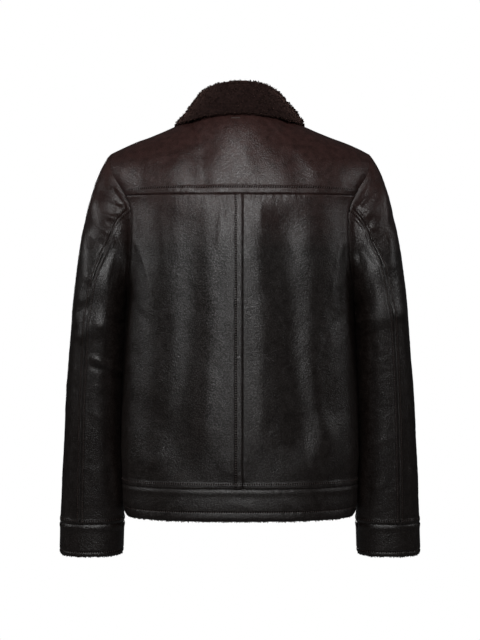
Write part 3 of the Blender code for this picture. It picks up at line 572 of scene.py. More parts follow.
def mapped(tree, source, low, high, to_low, to_high, at):
    """Values from low to high made into values from to_low to to_high."""
    made = node(
        tree,
        "ShaderNodeMapRange",
        at,
        {"clamp": True},
        {"From Min": low, "From Max": high, "To Min": to_low, "To Max": to_high},
    )
    tree.links.new(source, made.inputs["Value"])
    return made.outputs["Result"]


def sum_of(tree, first, second, at, operation="ADD"):
    made = node(tree, "ShaderNodeMath", at, {"operation": operation})
    for socket, source in zip(made.inputs, (first, second)):
        if isinstance(source, (int, float)):
            socket.default_value = source
        else:
            tree.links.new(source, socket)
    return made.outputs[0]


def leather_grain():
    """Pebbled grain, fine pores and broad mottling, from a place on the leather."""
    group = new_group(
        "leather_grain",
        [
            ("Vector", "NodeSocketVector", None),
            ("Cell", "NodeSocketFloat", 620.0),
            ("Mottle", "NodeSocketFloat", 95.0),
        ],
        [
            ("Height", "NodeSocketFloat"),
            ("Mottling", "NodeSocketFloat"),
            ("Pores", "NodeSocketFloat"),
        ],
    )
    start = node(group, "NodeGroupInput", (-900, 0))
    end = node(group, "NodeGroupOutput", (700, 0))
    link = group.links.new
    warp = node(
        group, "ShaderNodeTexNoise", (-700, 260), {}, {"Scale": 300.0, "Detail": 2.0}
    )
    link(start.outputs["Vector"], warp.inputs["Vector"])
    shift = node(
        group, "ShaderNodeVectorMath", (-520, 260), {"operation": "SCALE"}, {"Scale": 0.0012}
    )
    link(warp.outputs["Color"], shift.inputs[0])
    moved = node(group, "ShaderNodeVectorMath", (-350, 260), {"operation": "ADD"})
    link(start.outputs["Vector"], moved.inputs[0])
    link(shift.outputs["Vector"], moved.inputs[1])
    cells = node(group, "ShaderNodeTexVoronoi", (-160, 300), {"feature": "SMOOTH_F1"})
    cells.inputs["Smoothness"].default_value = 0.6
    link(moved.outputs["Vector"], cells.inputs["Vector"])
    link(start.outputs["Cell"], cells.inputs["Scale"])
    pebbles = mapped(group, cells.outputs["Distance"], 0.0, 0.75, 1.0, 0.0, (30, 300))
    fine = node(
        group, "ShaderNodeTexNoise", (-160, 60), {}, {"Scale": 1500.0, "Detail": 3.0}
    )
    link(start.outputs["Vector"], fine.inputs["Vector"])
    grit = mapped(group, fine.outputs["Fac"], 0.35, 0.65, 0.0, 0.4, (30, 60))
    height = sum_of(group, pebbles, grit, (260, 220))
    broad = node(
        group, "ShaderNodeTexNoise", (-160, -160), {}, {"Detail": 5.0, "Roughness": 0.62}
    )
    link(start.outputs["Vector"], broad.inputs["Vector"])
    link(start.outputs["Mottle"], broad.inputs["Scale"])
    mottling = mapped(group, broad.outputs["Fac"], 0.32, 0.70, 0.0, 1.0, (30, -160))
    link(height, end.inputs["Height"])
    link(mottling, end.inputs["Mottling"])
    link(pebbles, end.inputs["Pores"])
    return group


def new_finish(name):
    made = bpy.data.materials.new(name)
    made.use_nodes = True
    tree = made.node_tree
    shader = tree.nodes["Principled BSDF"]
    return made, tree, shader


def mixed(tree, factor, low, high, at):
    """Two colours mixed by a factor. Each is a socket or a colour."""
    made = node(tree, "ShaderNodeMix", at, {"data_type": "RGBA"})
    tree.links.new(factor, made.inputs["Factor"])
    for label, source in (("A", low), ("B", high)):
        socket = [s for s in made.inputs if s.name == label and s.type == "RGBA"][0]
        if isinstance(source, tuple):
            socket.default_value = (*source, 1.0)
        else:
            tree.links.new(source, socket)
    return [s for s in made.outputs if s.type == "RGBA"][0]


LEATHER_DARK = (0.0048, 0.0031, 0.0026)
LEATHER_MID = (0.0090, 0.0060, 0.0051)
LEATHER_RED = (0.0500, 0.0215, 0.0190)
# Painted highlight, laid on the raised crests and pebble tops.
LEATHER_PAINTED_CREST_LIGHT = (0.0240, 0.0185, 0.0165)
# Needle holes, darkened further with painted shade of the puckers beside them.
NEEDLE_HOLE_AND_PUCKER_SHADE = (0.0020, 0.0014, 0.0013)


def leather_finish():
    """Semi-gloss dark brown skin: darker in its creases as painted shade, paler on its crests
    as a painted highlight, and redder towards the shoulders."""
    made, tree, shader = new_finish("dark brown leather")
    link = tree.links.new
    place = node(tree, "ShaderNodeTexCoord", (-1400, 0))
    grain = node(tree, "ShaderNodeGroup", (-1150, 0), {"node_tree": leather_grain()})
    grain.inputs["Cell"].default_value = 430.0
    grain.inputs["Mottle"].default_value = 95.0
    link(place.outputs["Object"], grain.inputs["Vector"])
    relief = node(tree, "ShaderNodeAttribute", (-1150, -260), {"attribute_name": "relief"})
    crest = mapped(tree, relief.outputs["Fac"], -1.2, 2.2, 0.0, 1.0, (-900, -260))
    split = node(tree, "ShaderNodeSeparateXYZ", (-1150, -480))
    link(place.outputs["Object"], split.inputs[0])
    upper = mapped(tree, split.outputs["Z"], -0.24, -0.05, 0.0, 1.0, (-900, -480))
    base = mixed(tree, grain.outputs["Mottling"], LEATHER_DARK, LEATHER_MID, (-640, 160))
    patchy = mapped(tree, grain.outputs["Mottling"], 0.0, 1.0, 0.45, 1.0, (-900, -420))
    redder = sum_of(tree, upper, patchy, (-640, -420), "MULTIPLY")
    base = mixed(tree, redder, base, LEATHER_RED, (-420, 120))
    # Painted highlight: paler on the raised crests and pebble tops, which leaves the creases
    # darker as painted shade.
    wear_and_painted_light = sum_of(tree, crest, grain.outputs["Pores"], (-640, -240), "MULTIPLY")
    wear_and_painted_light = mapped(tree, wear_and_painted_light, 0.25, 1.0, 0.0, 0.75, (-420, -240))
    base = mixed(tree, wear_and_painted_light, base, LEATHER_PAINTED_CREST_LIGHT, (-200, 80))
    # Painted shade: dark ticks at the needle holes along each stitch row, for the holes and
    # the shade of their puckers.
    sewn = node(tree, "ShaderNodeAttribute", (-1400, 500), {"attribute_name": "sewn"})
    along = node(tree, "ShaderNodeAttribute", (-1400, 700), {"attribute_name": "along"})
    turn = sum_of(tree, along.outputs["Fac"], 2 * math.pi, (-1150, 700), "MULTIPLY")
    wave = node(tree, "ShaderNodeMath", (-950, 700), {"operation": "COSINE"})
    link(turn, wave.inputs[0])
    drawn = mapped(tree, wave.outputs[0], 0.0, 0.9, 0.0, 1.0, (-750, 700))
    drawn = sum_of(tree, drawn, sewn.outputs["Fac"], (-550, 600), "MULTIPLY")
    tick = mapped(tree, drawn, 0.15, 0.55, 0.0, 1.0, (-350, 600))
    base = mixed(tree, tick, base, NEEDLE_HOLE_AND_PUCKER_SHADE, (0, 160))
    link(base, shader.inputs["Base Color"])
    rough = mapped(tree, grain.outputs["Mottling"], 0.0, 1.0, 0.29, 0.41, (-640, -60))
    polish = mapped(tree, grain.outputs["Height"], 0.4, 1.2, 0.04, -0.04, (-640, -140))
    link(sum_of(tree, rough, polish, (-420, -60)), shader.inputs["Roughness"])
    shine = mapped(tree, grain.outputs["Height"], 0.4, 1.2, 0.34, 0.70, (-420, -150))
    dull = mapped(tree, tick, 0.0, 1.0, 1.0, 0.12, (-200, 600))
    shine = sum_of(tree, shine, dull, (-200, -60), "MULTIPLY")
    link(shine, shader.inputs["Specular IOR Level"])
    bump = node(
        tree, "ShaderNodeBump", (-200, -200), {}, {"Strength": 0.90, "Distance": 0.00022}
    )
    link(grain.outputs["Height"], bump.inputs["Height"])
    crumple = node(
        tree, "ShaderNodeTexNoise", (-640, -640), {}, {"Scale": 230.0, "Detail": 4.0}
    )
    link(place.outputs["Object"], crumple.inputs["Vector"])
    soft = node(
        tree, "ShaderNodeBump", (-420, -500), {}, {"Strength": 0.30, "Distance": 0.0007}
    )
    link(crumple.outputs["Fac"], soft.inputs["Height"])
    link(soft.outputs["Normal"], bump.inputs["Normal"])
    link(bump.outputs["Normal"], shader.inputs["Normal"])
    return made


def pile_finish(name, dark, light, curl):
    """Clipped wool: a soft, matt, lumpy surface with a sheen of fine ends."""
    made, tree, shader = new_finish(name)
    link = tree.links.new
    place = node(tree, "ShaderNodeTexCoord", (-1100, 0))
    clumps = node(
        tree, "ShaderNodeTexNoise", (-850, 120), {}, {"Scale": curl, "Detail": 4.0}
    )
    link(place.outputs["Object"], clumps.inputs["Vector"])
    fibres = node(
        tree, "ShaderNodeTexNoise", (-850, -120), {}, {"Scale": curl * 7, "Detail": 3.0}
    )
    link(place.outputs["Object"], fibres.inputs["Vector"])
    both = sum_of(
        tree, clumps.outputs["Fac"], fibres.outputs["Fac"], (-620, 0), "MULTIPLY"
    )
    shade = mapped(tree, both, 0.15, 0.38, 0.0, 1.0, (-440, 0))
    link(mixed(tree, shade, dark, light, (-240, 80)), shader.inputs["Base Color"])
    shader.inputs["Roughness"].default_value = 0.92
    shader.inputs["Specular IOR Level"].default_value = 0.12
    shader.inputs["Sheen Weight"].default_value = 0.22
    shader.inputs["Sheen Roughness"].default_value = 0.45
    shader.inputs["Sheen Tint"].default_value = (0.55, 0.32, 0.27, 1.0)
    bump = node(
        tree, "ShaderNodeBump", (-240, -200), {}, {"Strength": 0.9, "Distance": 0.0012}
    )
    link(both, bump.inputs["Height"])
    link(bump.outputs["Normal"], shader.inputs["Normal"])
    return made


def thread_finish(name, dark, light):
    """Waxed thread, near the colour of the leather, with a twist along it."""
    made, tree, shader = new_finish(name)
    link = tree.links.new
    place = node(tree, "ShaderNodeTexCoord", (-800, 0))
    twist = node(
        tree, "ShaderNodeTexNoise", (-600, 0), {}, {"Scale": 2200.0, "Detail": 1.0}
    )
    link(place.outputs["Object"], twist.inputs["Vector"])
    link(
        mixed(tree, twist.outputs["Fac"], dark, light, (-300, 60)),
        shader.inputs["Base Color"],
    )
    shader.inputs["Roughness"].default_value = 0.5
    bump = node(
        tree, "ShaderNodeBump", (-300, -200), {}, {"Strength": 0.5, "Distance": 0.0002}
    )
    link(twist.outputs["Fac"], bump.inputs["Height"])
    link(bump.outputs["Normal"], shader.inputs["Normal"])
    return made


leather = leather_finish()
inner_pile = pile_finish("inner pile", (0.010, 0.006, 0.005), (0.045, 0.030, 0.026), 220.0)
thread = thread_finish(
    "tone on tone thread", (0.022, 0.014, 0.012), (0.070, 0.046, 0.040)
)
pale_thread = thread_finish("tack thread", (0.050, 0.036, 0.032), (0.100, 0.078, 0.070))


def groove(distance, depth=0.0010, width=0.0018):
    """A seam's valley, where the two pieces are drawn down together."""
    return -depth * np.exp(-((distance / width) ** 2))


def pressed_band(distance, stitch_at, height=0.0010):
    """The raised strip over a pressed allowance, up to its stitch row, which dents it."""
    lift = height * (1 - smooth_step((distance - stitch_at - 0.0004) / 0.0022))
    dent = -0.55 * height * np.exp(-(((distance - stitch_at) / 0.0010) ** 2))
    return lift + dent


def pucker(distance, along, seed, reach=0.010, height=0.00030):
    """Small gathers that a stitched seam pulls into the leather beside it."""
    phase = along / 0.0085 + 0.9 * np.sin(along / 0.021 + seed) + seed
    waves = np.sin(2 * np.pi * phase) * (0.6 + 0.4 * np.sin(along / 0.037 + 2 * seed))
    return height * waves * np.exp(-((distance / reach) ** 2))


CENTRE_BAND = 0.0105
HEM_BAND = 0.0080


def soft_waves(points, height=0.0011):
    """The slow unevenness of well-used sheepskin."""
    broad = lumps(points, (0.055, 0.055, 0.085), 11.3)
    small = lumps(points, (0.019, 0.019, 0.026), 27.9)
    return height * broad + 0.35 * height * small


def beside_arm(points):
    """How far the body and the hanging arm each bulge where they lie together."""
    height = points[..., 2]
    along = smooth_step((height + 0.662) / 0.020) * smooth_step((-0.30 - height) / 0.06)
    more = 0.0014 + 0.0011 * smooth_step((-0.54 - height) / 0.07)
    return more * along * smooth_step((np.abs(points[..., 0]) - 0.165) / 0.020)


def back_lift(side):
    def lift(points, normals, s, s_end, t, t_end):
        total = soft_waves(points) + crease_lift(BACK_CREASES, points)
        # Horizontal drag lines near the side seam and armhole.
        total += groove(s, 0.0010, 0.0011) + groove(s_end, 0.0012, 0.0028)
        total += groove(t, 0.0009, 0.0012) + groove(t_end, 0.0011, 0.0012)
        total += beside_arm(points)
        total += pressed_band(t, HEM_BAND, 0.0008)
        total += 0.0012 * np.exp(-(((s_end - 0.009) / 0.006) ** 2))
        total += pucker(t_end, s, 0.3) + pucker(t, s, 1.7) + pucker(s_end, t, 2.2)
        total += pucker(s, t, 0.8, 0.014, 0.00022)
        if side > 0:
            total += pressed_band(s, CENTRE_BAND)
        return total

    return lift


def make_back():
    rows = []
    for side, word in ((1, "left"), (-1, "right")):
        centre = CENTRE_BACK_SEAM_X * side

        def surface(u, v, side=side, centre=centre):
            return body_point(u, v, side, True, centre)

        us = places_along(
            lambda f: surface(f, -0.400),
            (0.0, 1.0),
            CLOTH_STEP,
            CENTRE_BAND if side > 0 else None,
        )
        vs = places_along(
            lambda f: surface(0.3, f), (HEM_SEAM, YOKE_SEAM), CLOTH_STEP, HEM_BAND
        )
        grid = cloth_grid(surface, us, vs, from_axis, back_lift(side))
        name = f"back_{word}"
        sewn = [("low", HEM_BAND)] + [("left", CENTRE_BAND)] * (side > 0)
        rows += leather_piece(
            f"{name}_leather", (name,), grid, sewn
        )
    stitches("back_stitches", rows)


make_back()


# ---------------------------------------------------------------- back yoke
# One piece across the shoulders. Its lower edge lies over the back panels' allowance,
# stitched down one band above the seam, and it is cut to the neck and the armholes.

ShoulderRow = namedtuple("ShoulderRow", "out height")
SHOULDER_ROWS = (
    ShoulderRow(0.082, -0.0150),
    ShoulderRow(0.108, -0.0262),
    ShoulderRow(0.128, -0.0352),
    ShoulderRow(0.149, -0.0443),
    ShoulderRow(0.178, -0.0548),
    ShoulderRow(0.199, -0.0640),
    ShoulderRow(0.215, -0.0720),
)
TACK_THREADS = 18
TACK_SIZE = (0.0032, 0.00095, 0.0007)
NECK_HALF_WIDTH = 0.082
NECK_BACK = 0.055
NECK_FRONT = 0.095
NECK_FRONT_DROP = 0.072
NECK_SHARE = 0.40
YOKE_BAND = 0.0108
YOKE_CREASES = (
    Crease(0.057, -0.150, 0.060, -0.060, 0.016, -0.0032, 0.003),
    Crease(-0.098, -0.152, -0.088, -0.070, 0.018, -0.0015, -0.003),
    Crease(-0.050, -0.135, -0.066, -0.085, 0.016, 0.0008, 0.002),
    Crease(0.098, -0.145, 0.086, -0.085, 0.018, 0.0012, 0.003),
    Crease(0.085, -0.060, 0.120, -0.120, 0.012, 0.0011, 0.004),
    Crease(-0.085, -0.060, -0.130, -0.118, 0.012, 0.0011, -0.004),
    Crease(0.150, -0.075, 0.165, -0.140, 0.011, 0.0010, 0.003),
    Crease(-0.150, -0.075, -0.168, -0.140, 0.011, 0.0010, -0.003),
    Crease(0.010, -0.050, -0.020, -0.120, 0.012, 0.0008, 0.002),
)


def neck_point(turn):
    """Points of the neck seam. turn is 0 at centre back, 90 at the side, 180 in front."""
    turn = np.radians(turn)
    forward = np.maximum(-np.cos(turn), 0.0)
    side_height = SHOULDER_ROWS[0].height
    y_front = SHOULDER_Y - (NECK_FRONT + SHOULDER_Y) * forward
    z_front = side_height - (NECK_FRONT_DROP + side_height) * forward**1.3
    y_back = SHOULDER_Y + (NECK_BACK - SHOULDER_Y) * np.cos(turn)
    z_back = side_height * np.sin(turn) ** 2
    in_front = forward > 0
    y = np.where(in_front, y_front, y_back)
    z = np.where(in_front, z_front, z_back)
    return vectors(NECK_HALF_WIDTH * np.sin(turn), y, z)


def top_edge(across, back):
    """A panel's top edge: along the neck seam from the centre, then the shoulder seam."""
    last = 0.0 if back else 180 - math.degrees(FRONT_EDGE_X / NECK_HALF_WIDTH)
    neck = neck_point(last + (90 - last) * np.minimum(across / NECK_SHARE, 1.0))
    share = np.clip((across - NECK_SHARE) / (1 - NECK_SHARE), 0.0, 1.0)
    out = NECK_HALF_WIDTH + (SHOULDER_ROWS[-1].out - NECK_HALF_WIDTH) * share
    shoulder = vectors(out, SHOULDER_Y, read(SHOULDER_ROWS, "out", "height", out))
    return np.where((across <= NECK_SHARE)[..., None], neck, shoulder)


def upper_point(across, rise, side, back):
    """The surface above the yoke seam or chest line. rise is 0 there, 1 at the top."""
    across, rise = np.broadcast_arrays(np.asarray(across, float), rise)
    base = YOKE_SEAM if back else CHEST_LINE
    centre_x = 0.0 if back else FRONT_EDGE_X
    facing = 1 if back else -1
    limit = armhole_turn(base, back)
    probe = 0.0005
    first_step = length_of(armhole(limit * (1 - probe)) - armhole(limit)) / probe
    pace = first_step / length_of(armhole(0.0) - armhole(limit))

    def column(share, up):
        bottom = body_point(share, base, 1, back, centre_x)
        below = body_point(share, base - 0.004, 1, back, centre_x)
        top = top_edge(share, back)
        chord = length_of(top - bottom)[..., None]
        steep = np.maximum(1 - share / NECK_SHARE, 0.0) ** 0.7
        arrive = unit(vectors(0.0, -facing, (0.62 if back else 0.75) * steep))
        leave = unit(bottom - below)
        up = up[..., None]
        return hermite(bottom, leave * chord * pace, top, arrive * chord * 0.95, up)

    point = column(across, rise)
    slip = armhole(limit * (1 - rise)) - column(np.ones(rise.shape), rise)
    point = point + slip * (across**4)[..., None]
    point[..., 0] *= side
    return point


def armhole_edge(distance, points, hollow_reach=0.0120):
    """The armhole seam: a rounded edge at the shoulder's tip, then a soft hollow, and a
    narrow valley below it."""
    height = points[..., 2]
    low = smooth_step((-0.105 - height) / 0.045)
    hollow = 0.0026 * np.exp(-(((height + 0.134) / 0.019) ** 2))
    return (
        low * groove(distance, 0.0011, 0.0024)
        + (1 - low) * groove(distance, 0.0004, 0.0050)
        + groove(distance, hollow, hollow_reach)
    )


def yoke_surface(u, v):
    return upper_point(np.abs(u), v, np.where(np.asarray(u) >= 0, 1, -1), True)


SHOULDER_FADE = 0.007  # the yoke and the fronts meet unlifted at the shoulder seam


def yoke_lift(points, normals, s, s_end, t, t_end):
    total = soft_waves(points, 0.0010) + crease_lift(YOKE_CREASES, points)
    total += groove(t, 0.0011, 0.0012)
    total *= smooth_step(np.minimum(s, s_end) / 0.014 + 0.1)
    total *= smooth_step(t_end / SHOULDER_FADE)
    total += armhole_edge(s, points) + armhole_edge(s_end, points)
    total += pressed_band(t, YOKE_BAND, 0.0013) * smooth_step(
        np.minimum(s, s_end) / 0.008
    )
    total += pucker(t, s, 0.4, 0.016, 0.00032)
    total += pucker(s, t, 1.1, 0.012) + pucker(s_end, t, 2.9, 0.012)
    return total


def make_yoke():
    us = places_along(lambda f: yoke_surface(f, 0.2), (-1.0, 1.0), CLOTH_STEP)
    vs = places_along(
        lambda f: yoke_surface(0.5, f), (0.0, 1.0), CLOTH_STEP, YOKE_BAND
    )
    grid = cloth_grid(yoke_surface, us, vs, from_axis, yoke_lift, "both")
    sewn = [("low", YOKE_BAND)]
    name = "back_yoke"
    rows = leather_piece(
        f"{name}_leather", (name,), grid, sewn
    )
    stitches("yoke_stitches", rows)
    neck_tack(grid)


def neck_tack(grid):
    """A short bar of close thread just below the collar, beside the centre back."""
    wanted = vectors(np.linspace(0.0005, 0.0135, TACK_THREADS), 0.0, -0.0212)
    flat = grid.points.reshape(-1, 3)
    away = length_of((flat[None] - wanted[:, None]) * (1, 0, 1))
    near = away.argmin(axis=1)
    up = grid.normals.reshape(-1, 3)[near]
    places = vectors(wanted[:, 0], flat[near, 1] + 0.0004, wanted[:, 2])
    along = unit(np.cross(up, np.tile((1.0, 0.0, 0.0), (len(up), 1))))
    piece = copies("neck_tack", stitch_form(), places, along, up, TACK_SIZE, (pale_thread,))
    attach(piece, "jacket")


make_yoke()


# ---------------------------------------------------------------- fronts
# Two fronts, each one piece from the hem seam to the shoulder, with a straight edge that
# is turned back over the zip tape and stitched.

FRONT_CREASES = (
    Crease(0.160, -0.240, 0.060, -0.300, 0.012, 0.0014, 0.006),
    Crease(0.150, -0.320, 0.080, -0.420, 0.013, 0.0013, 0.006),
    Crease(0.050, -0.180, 0.060, -0.330, 0.012, -0.0012, 0.004),
    Crease(0.120, -0.430, 0.050, -0.520, 0.012, 0.0010, 0.005),
    Crease(-0.165, -0.230, -0.070, -0.290, 0.012, 0.0014, 0.006),
    Crease(-0.155, -0.330, -0.090, -0.400, 0.013, 0.0013, -0.005),
    Crease(-0.052, -0.180, -0.064, -0.310, 0.012, -0.0012, -0.004),
    Crease(-0.130, -0.450, -0.060, -0.530, 0.012, 0.0010, -0.005),
    Crease(0.120, -0.100, 0.070, -0.170, 0.012, 0.0010, 0.004),
    Crease(-0.125, -0.105, -0.075, -0.180, 0.012, 0.0010, -0.004),
)
FRONT_STITCH = 0.0065


def front_surface(side):
    """A front's surface: up to 1 it runs from the hem seam to the chest line, and from
    there to 2 it turns in to the neck and shoulder."""

    def surface(u, v):
        u, v = np.broadcast_arrays(np.asarray(u, float), v)
        height = HEM_SEAM + (CHEST_LINE - HEM_SEAM) * np.minimum(v, 1.0)
        low = body_point(u, height, side, False, FRONT_EDGE_X)
        high = upper_point(u, np.maximum(v - 1, 0.0), side, False)
        return np.where((v <= 1)[..., None], low, high)

    return surface


def front_lift(points, normals, s, s_end, t, t_end):
    total = soft_waves(points) + crease_lift(FRONT_CREASES, points)
    total = (total + groove(t, 0.0010)) * smooth_step(t_end / SHOULDER_FADE)
    total += armhole_edge(s_end, points) + 1.4 * beside_arm(points)
    total += pressed_band(s, FRONT_STITCH, 0.0007)
    total += pucker(t, s, 0.7) + pucker(s_end, t, 1.9) + pucker(s, t, 2.6, 0.012)
    return total * smooth_step(s / 0.004 + 0.25)


def make_fronts():
    rows = []
    for side, word in ((1, "left"), (-1, "right")):
        surface = front_surface(side)
        us = places_along(
            lambda f: surface(f, 0.6), (0.0, 1.0), CLOTH_STEP * 1.35, FRONT_STITCH
        )
        vs = places_along(lambda f: surface(0.3, f), (0.0, 2.0), CLOTH_STEP * 1.35)
        grid = cloth_grid(surface, us, vs, from_axis, front_lift)
        name = f"front_{word}"
        sewn = [("left", FRONT_STITCH)]
        rows += leather_piece(
            f"{name}_leather", (name,), grid, sewn
        )
    stitches("front_edge_stitches", rows)


make_fronts()


# ---------------------------------------------------------------- hem band
# A straight band round the bottom in three pieces, joined to the body by a seam whose
# allowance is pressed up onto the panels. A second row of stitches runs near its edge.

HEM_STITCH = 0.0150
HEM_CREASES = (
    Crease(0.090, -0.628, 0.130, -0.655, 0.009, 0.0010, 0.002),
    Crease(-0.060, -0.632, -0.110, -0.652, 0.009, 0.0009, 0.002),
    Crease(0.020, -0.636, -0.030, -0.650, 0.009, 0.0007, 0.002),
)


def hem_lift(points, normals, s, s_end, t, t_end):
    total = soft_waves(points, 0.0009) + crease_lift(HEM_CREASES, points)
    total += beside_arm(points)
    total += groove(t_end, 0.0010, 0.0012) + groove(t, 0.0016, 0.0022)
    total += 0.0009 * np.exp(-(((t_end - 0.006) / 0.004) ** 2))
    total += 0.0010 * np.exp(-(((t - 0.007) / 0.005) ** 2))
    total += -0.0007 * np.exp(-(((t - HEM_STITCH) / 0.0012) ** 2))
    total += pucker(t_end, s, 0.5) + pucker(t - HEM_STITCH, s, 1.4, 0.008, 0.00035)
    return total * smooth_step(np.minimum(s, s_end) / 0.003 + 0.4)


def make_hem():
    def whole_back(u, v):
        side = np.where(np.asarray(u) >= 0, 1, -1)
        return body_point(np.abs(u), v, side, True, 0.0)

    spans = [("hem_back", whole_back, (-1.0, 1.0), (0.480, 0.056), 0.0262)]
    for side, word in ((1, "left"), (-1, "right")):

        def surface(u, v, side=side):
            return body_point(u, v, side, False, FRONT_EDGE_X)

        spans.append((f"hem_front_{word}", surface, (0.0, 1.0), (0.240, 0.056), 0.0130))
    rows = []
    for name, surface, span, flat, area in spans:
        us = places_along(lambda f: surface(f, HEM_SEAM), span, CLOTH_STEP)
        vs = places_along(
            lambda f: surface(0.3, f), (HEM_BOTTOM, HEM_SEAM), CLOTH_STEP, HEM_STITCH
        )
        grid = cloth_grid(surface, us, vs, from_axis, hem_lift)
        sewn = [("low", HEM_STITCH)]
        rows += leather_piece(f"{name}_leather", (name,), grid, sewn)
    stitches("hem_stitches", rows)


make_hem()


# ---------------------------------------------------------------- sleeves
# Two-piece sleeves. The upper and under pieces meet in a seam down the back of the arm,
# with a row of stitches on each side of it, and in a plain seam in front. The leather
# crumples in short slanting creases where the arm bends and lies against the body.

CUFF_SEAM = -0.683
CUFF_BOTTOM = -0.737
CAP_END = -0.345
BACK_SLEEVE_SEAM = 76.0
FRONT_SLEEVE_SEAM = -110.0
SLEEVE_SQUARENESS = 2.4
CAP_HEART_IN = 0.055
CAP_HEART_HEIGHT = -0.235
SLEEVE_RADIUS = 0.060
SLEEVE_STITCH = 0.0044
CRUMPLE_SLANT = math.radians(24)
CUFF_BAND = 0.0065

SleeveRing = namedtuple("SleeveRing", "height inner outer half_depth middle_y dip")
SLEEVE_RINGS = (
    SleeveRing(-0.742, 0.1965, 0.3030, 0.0450, -0.0370, 0.0025),
    SleeveRing(-0.683, 0.1945, 0.3015, 0.0462, -0.0325, 0.0025),
    SleeveRing(-0.620, 0.1958, 0.2980, 0.0515, -0.0270, 0.0020),
    SleeveRing(-0.553, 0.1972, 0.2940, 0.0570, -0.0205, 0.0015),
    SleeveRing(-0.473, 0.1960, 0.2895, 0.0635, -0.0140, 0.0010),
    SleeveRing(-0.400, 0.1938, 0.2832, 0.0710, -0.0090, 0.0005),
    SleeveRing(-0.345, 0.1903, 0.2785, 0.0770, -0.0050, 0.0000),
)

# The sleeves' large folds, which the frame has too, by turn round the arm and height.
SleeveFold = namedtuple(
    "SleeveFold", "side turn_start z_start turn_end z_end half_width depth"
)
SLEEVE_FOLDS = (
    SleeveFold(1, 40.0, -0.150, 120.0, -0.235, 0.014, 0.0045),
    SleeveFold(1, 30.0, -0.185, 115.0, -0.270, 0.013, -0.0045),
    SleeveFold(1, 60.0, -0.270, 122.0, -0.296, 0.013, 0.0040),
    SleeveFold(1, 45.0, -0.335, 120.0, -0.315, 0.012, -0.0035),
    SleeveFold(1, 55.0, -0.375, 120.0, -0.352, 0.013, 0.0030),
    SleeveFold(-1, 35.0, -0.130, 110.0, -0.215, 0.014, 0.0045),
    SleeveFold(-1, 20.0, -0.170, 110.0, -0.250, 0.013, -0.0045),
    SleeveFold(-1, 50.0, -0.250, 120.0, -0.275, 0.013, 0.0040),
    SleeveFold(-1, 40.0, -0.330, 120.0, -0.350, 0.014, 0.0030),
    SleeveFold(1, -40.0, -0.160, -110.0, -0.240, 0.014, 0.0040),
    SleeveFold(1, -40.0, -0.330, -120.0, -0.300, 0.014, -0.0040),
    SleeveFold(-1, -35.0, -0.170, -105.0, -0.250, 0.014, 0.0040),
    SleeveFold(-1, -45.0, -0.320, -120.0, -0.290, 0.014, -0.0040),
)

# The sleeves' creases seen from behind, the left arm first.
SLEEVE_BACK_CREASES = {
    1: (
        Crease(0.210, -0.100, 0.196, -0.136, 0.0035, 0.0018, -0.003),
        Crease(0.222, -0.134, 0.190, -0.156, 0.006, 0.0022, 0.002),
        Crease(0.226, -0.150, 0.182, -0.172, 0.005, 0.0022, -0.002),
        Crease(0.222, -0.178, 0.184, -0.196, 0.006, 0.0026, 0.003),
        Crease(0.228, -0.200, 0.188, -0.222, 0.005, 0.0018, 0.002),
        Crease(0.222, -0.228, 0.184, -0.248, 0.008, -0.0026, 0.002),
        Crease(0.218, -0.256, 0.182, -0.272, 0.006, 0.0022, -0.002),
        Crease(0.216, -0.276, 0.184, -0.292, 0.005, -0.0020, 0.002),
        Crease(0.222, -0.290, 0.184, -0.306, 0.006, 0.0022, 0.002),
        Crease(0.232, -0.312, 0.204, -0.340, 0.006, 0.0018, 0.003),
        Crease(0.226, -0.340, 0.186, -0.360, 0.006, -0.0020, 0.002),
        Crease(0.236, -0.352, 0.190, -0.374, 0.006, 0.0020, -0.002),
        Crease(0.246, -0.408, 0.190, -0.440, 0.006, 0.0028, 0.003),
        Crease(0.246, -0.420, 0.190, -0.452, 0.006, -0.0022, 0.003),
        Crease(0.262, -0.180, 0.252, -0.300, 0.012, 0.0012, 0.004),
        Crease(0.250, -0.500, 0.205, -0.520, 0.010, 0.0010, 0.003),
        Crease(0.262, -0.590, 0.225, -0.612, 0.010, 0.0009, 0.003),
    ),
    -1: (
        Crease(-0.207, -0.099, -0.196, -0.130, 0.0035, 0.0016, 0.003),
        Crease(-0.216, -0.112, -0.188, -0.168, 0.005, 0.0016, 0.003),
        Crease(-0.212, -0.145, -0.184, -0.172, 0.005, 0.0024, -0.002),
        Crease(-0.222, -0.160, -0.186, -0.186, 0.006, 0.0020, 0.002),
        Crease(-0.222, -0.178, -0.184, -0.204, 0.007, -0.0026, 0.002),
        Crease(-0.230, -0.190, -0.200, -0.206, 0.005, 0.0020, 0.001),
        Crease(-0.228, -0.208, -0.184, -0.232, 0.006, 0.0026, -0.002),
        Crease(-0.222, -0.232, -0.186, -0.252, 0.006, -0.0018, 0.002),
        Crease(-0.208, -0.262, -0.184, -0.306, 0.007, 0.0020, 0.003),
        Crease(-0.212, -0.306, -0.184, -0.328, 0.006, -0.0024, 0.002),
        Crease(-0.222, -0.338, -0.184, -0.360, 0.006, 0.0020, -0.002),
        Crease(-0.222, -0.362, -0.188, -0.378, 0.005, -0.0014, 0.002),
        Crease(-0.214, -0.394, -0.186, -0.412, 0.006, 0.0018, 0.002),
        Crease(-0.236, -0.140, -0.246, -0.245, 0.008, 0.0014, -0.003),
        Crease(-0.240, -0.535, -0.200, -0.560, 0.008, 0.0014, 0.002),
        Crease(-0.244, -0.602, -0.212, -0.630, 0.008, 0.0012, 0.002),
    ),
}
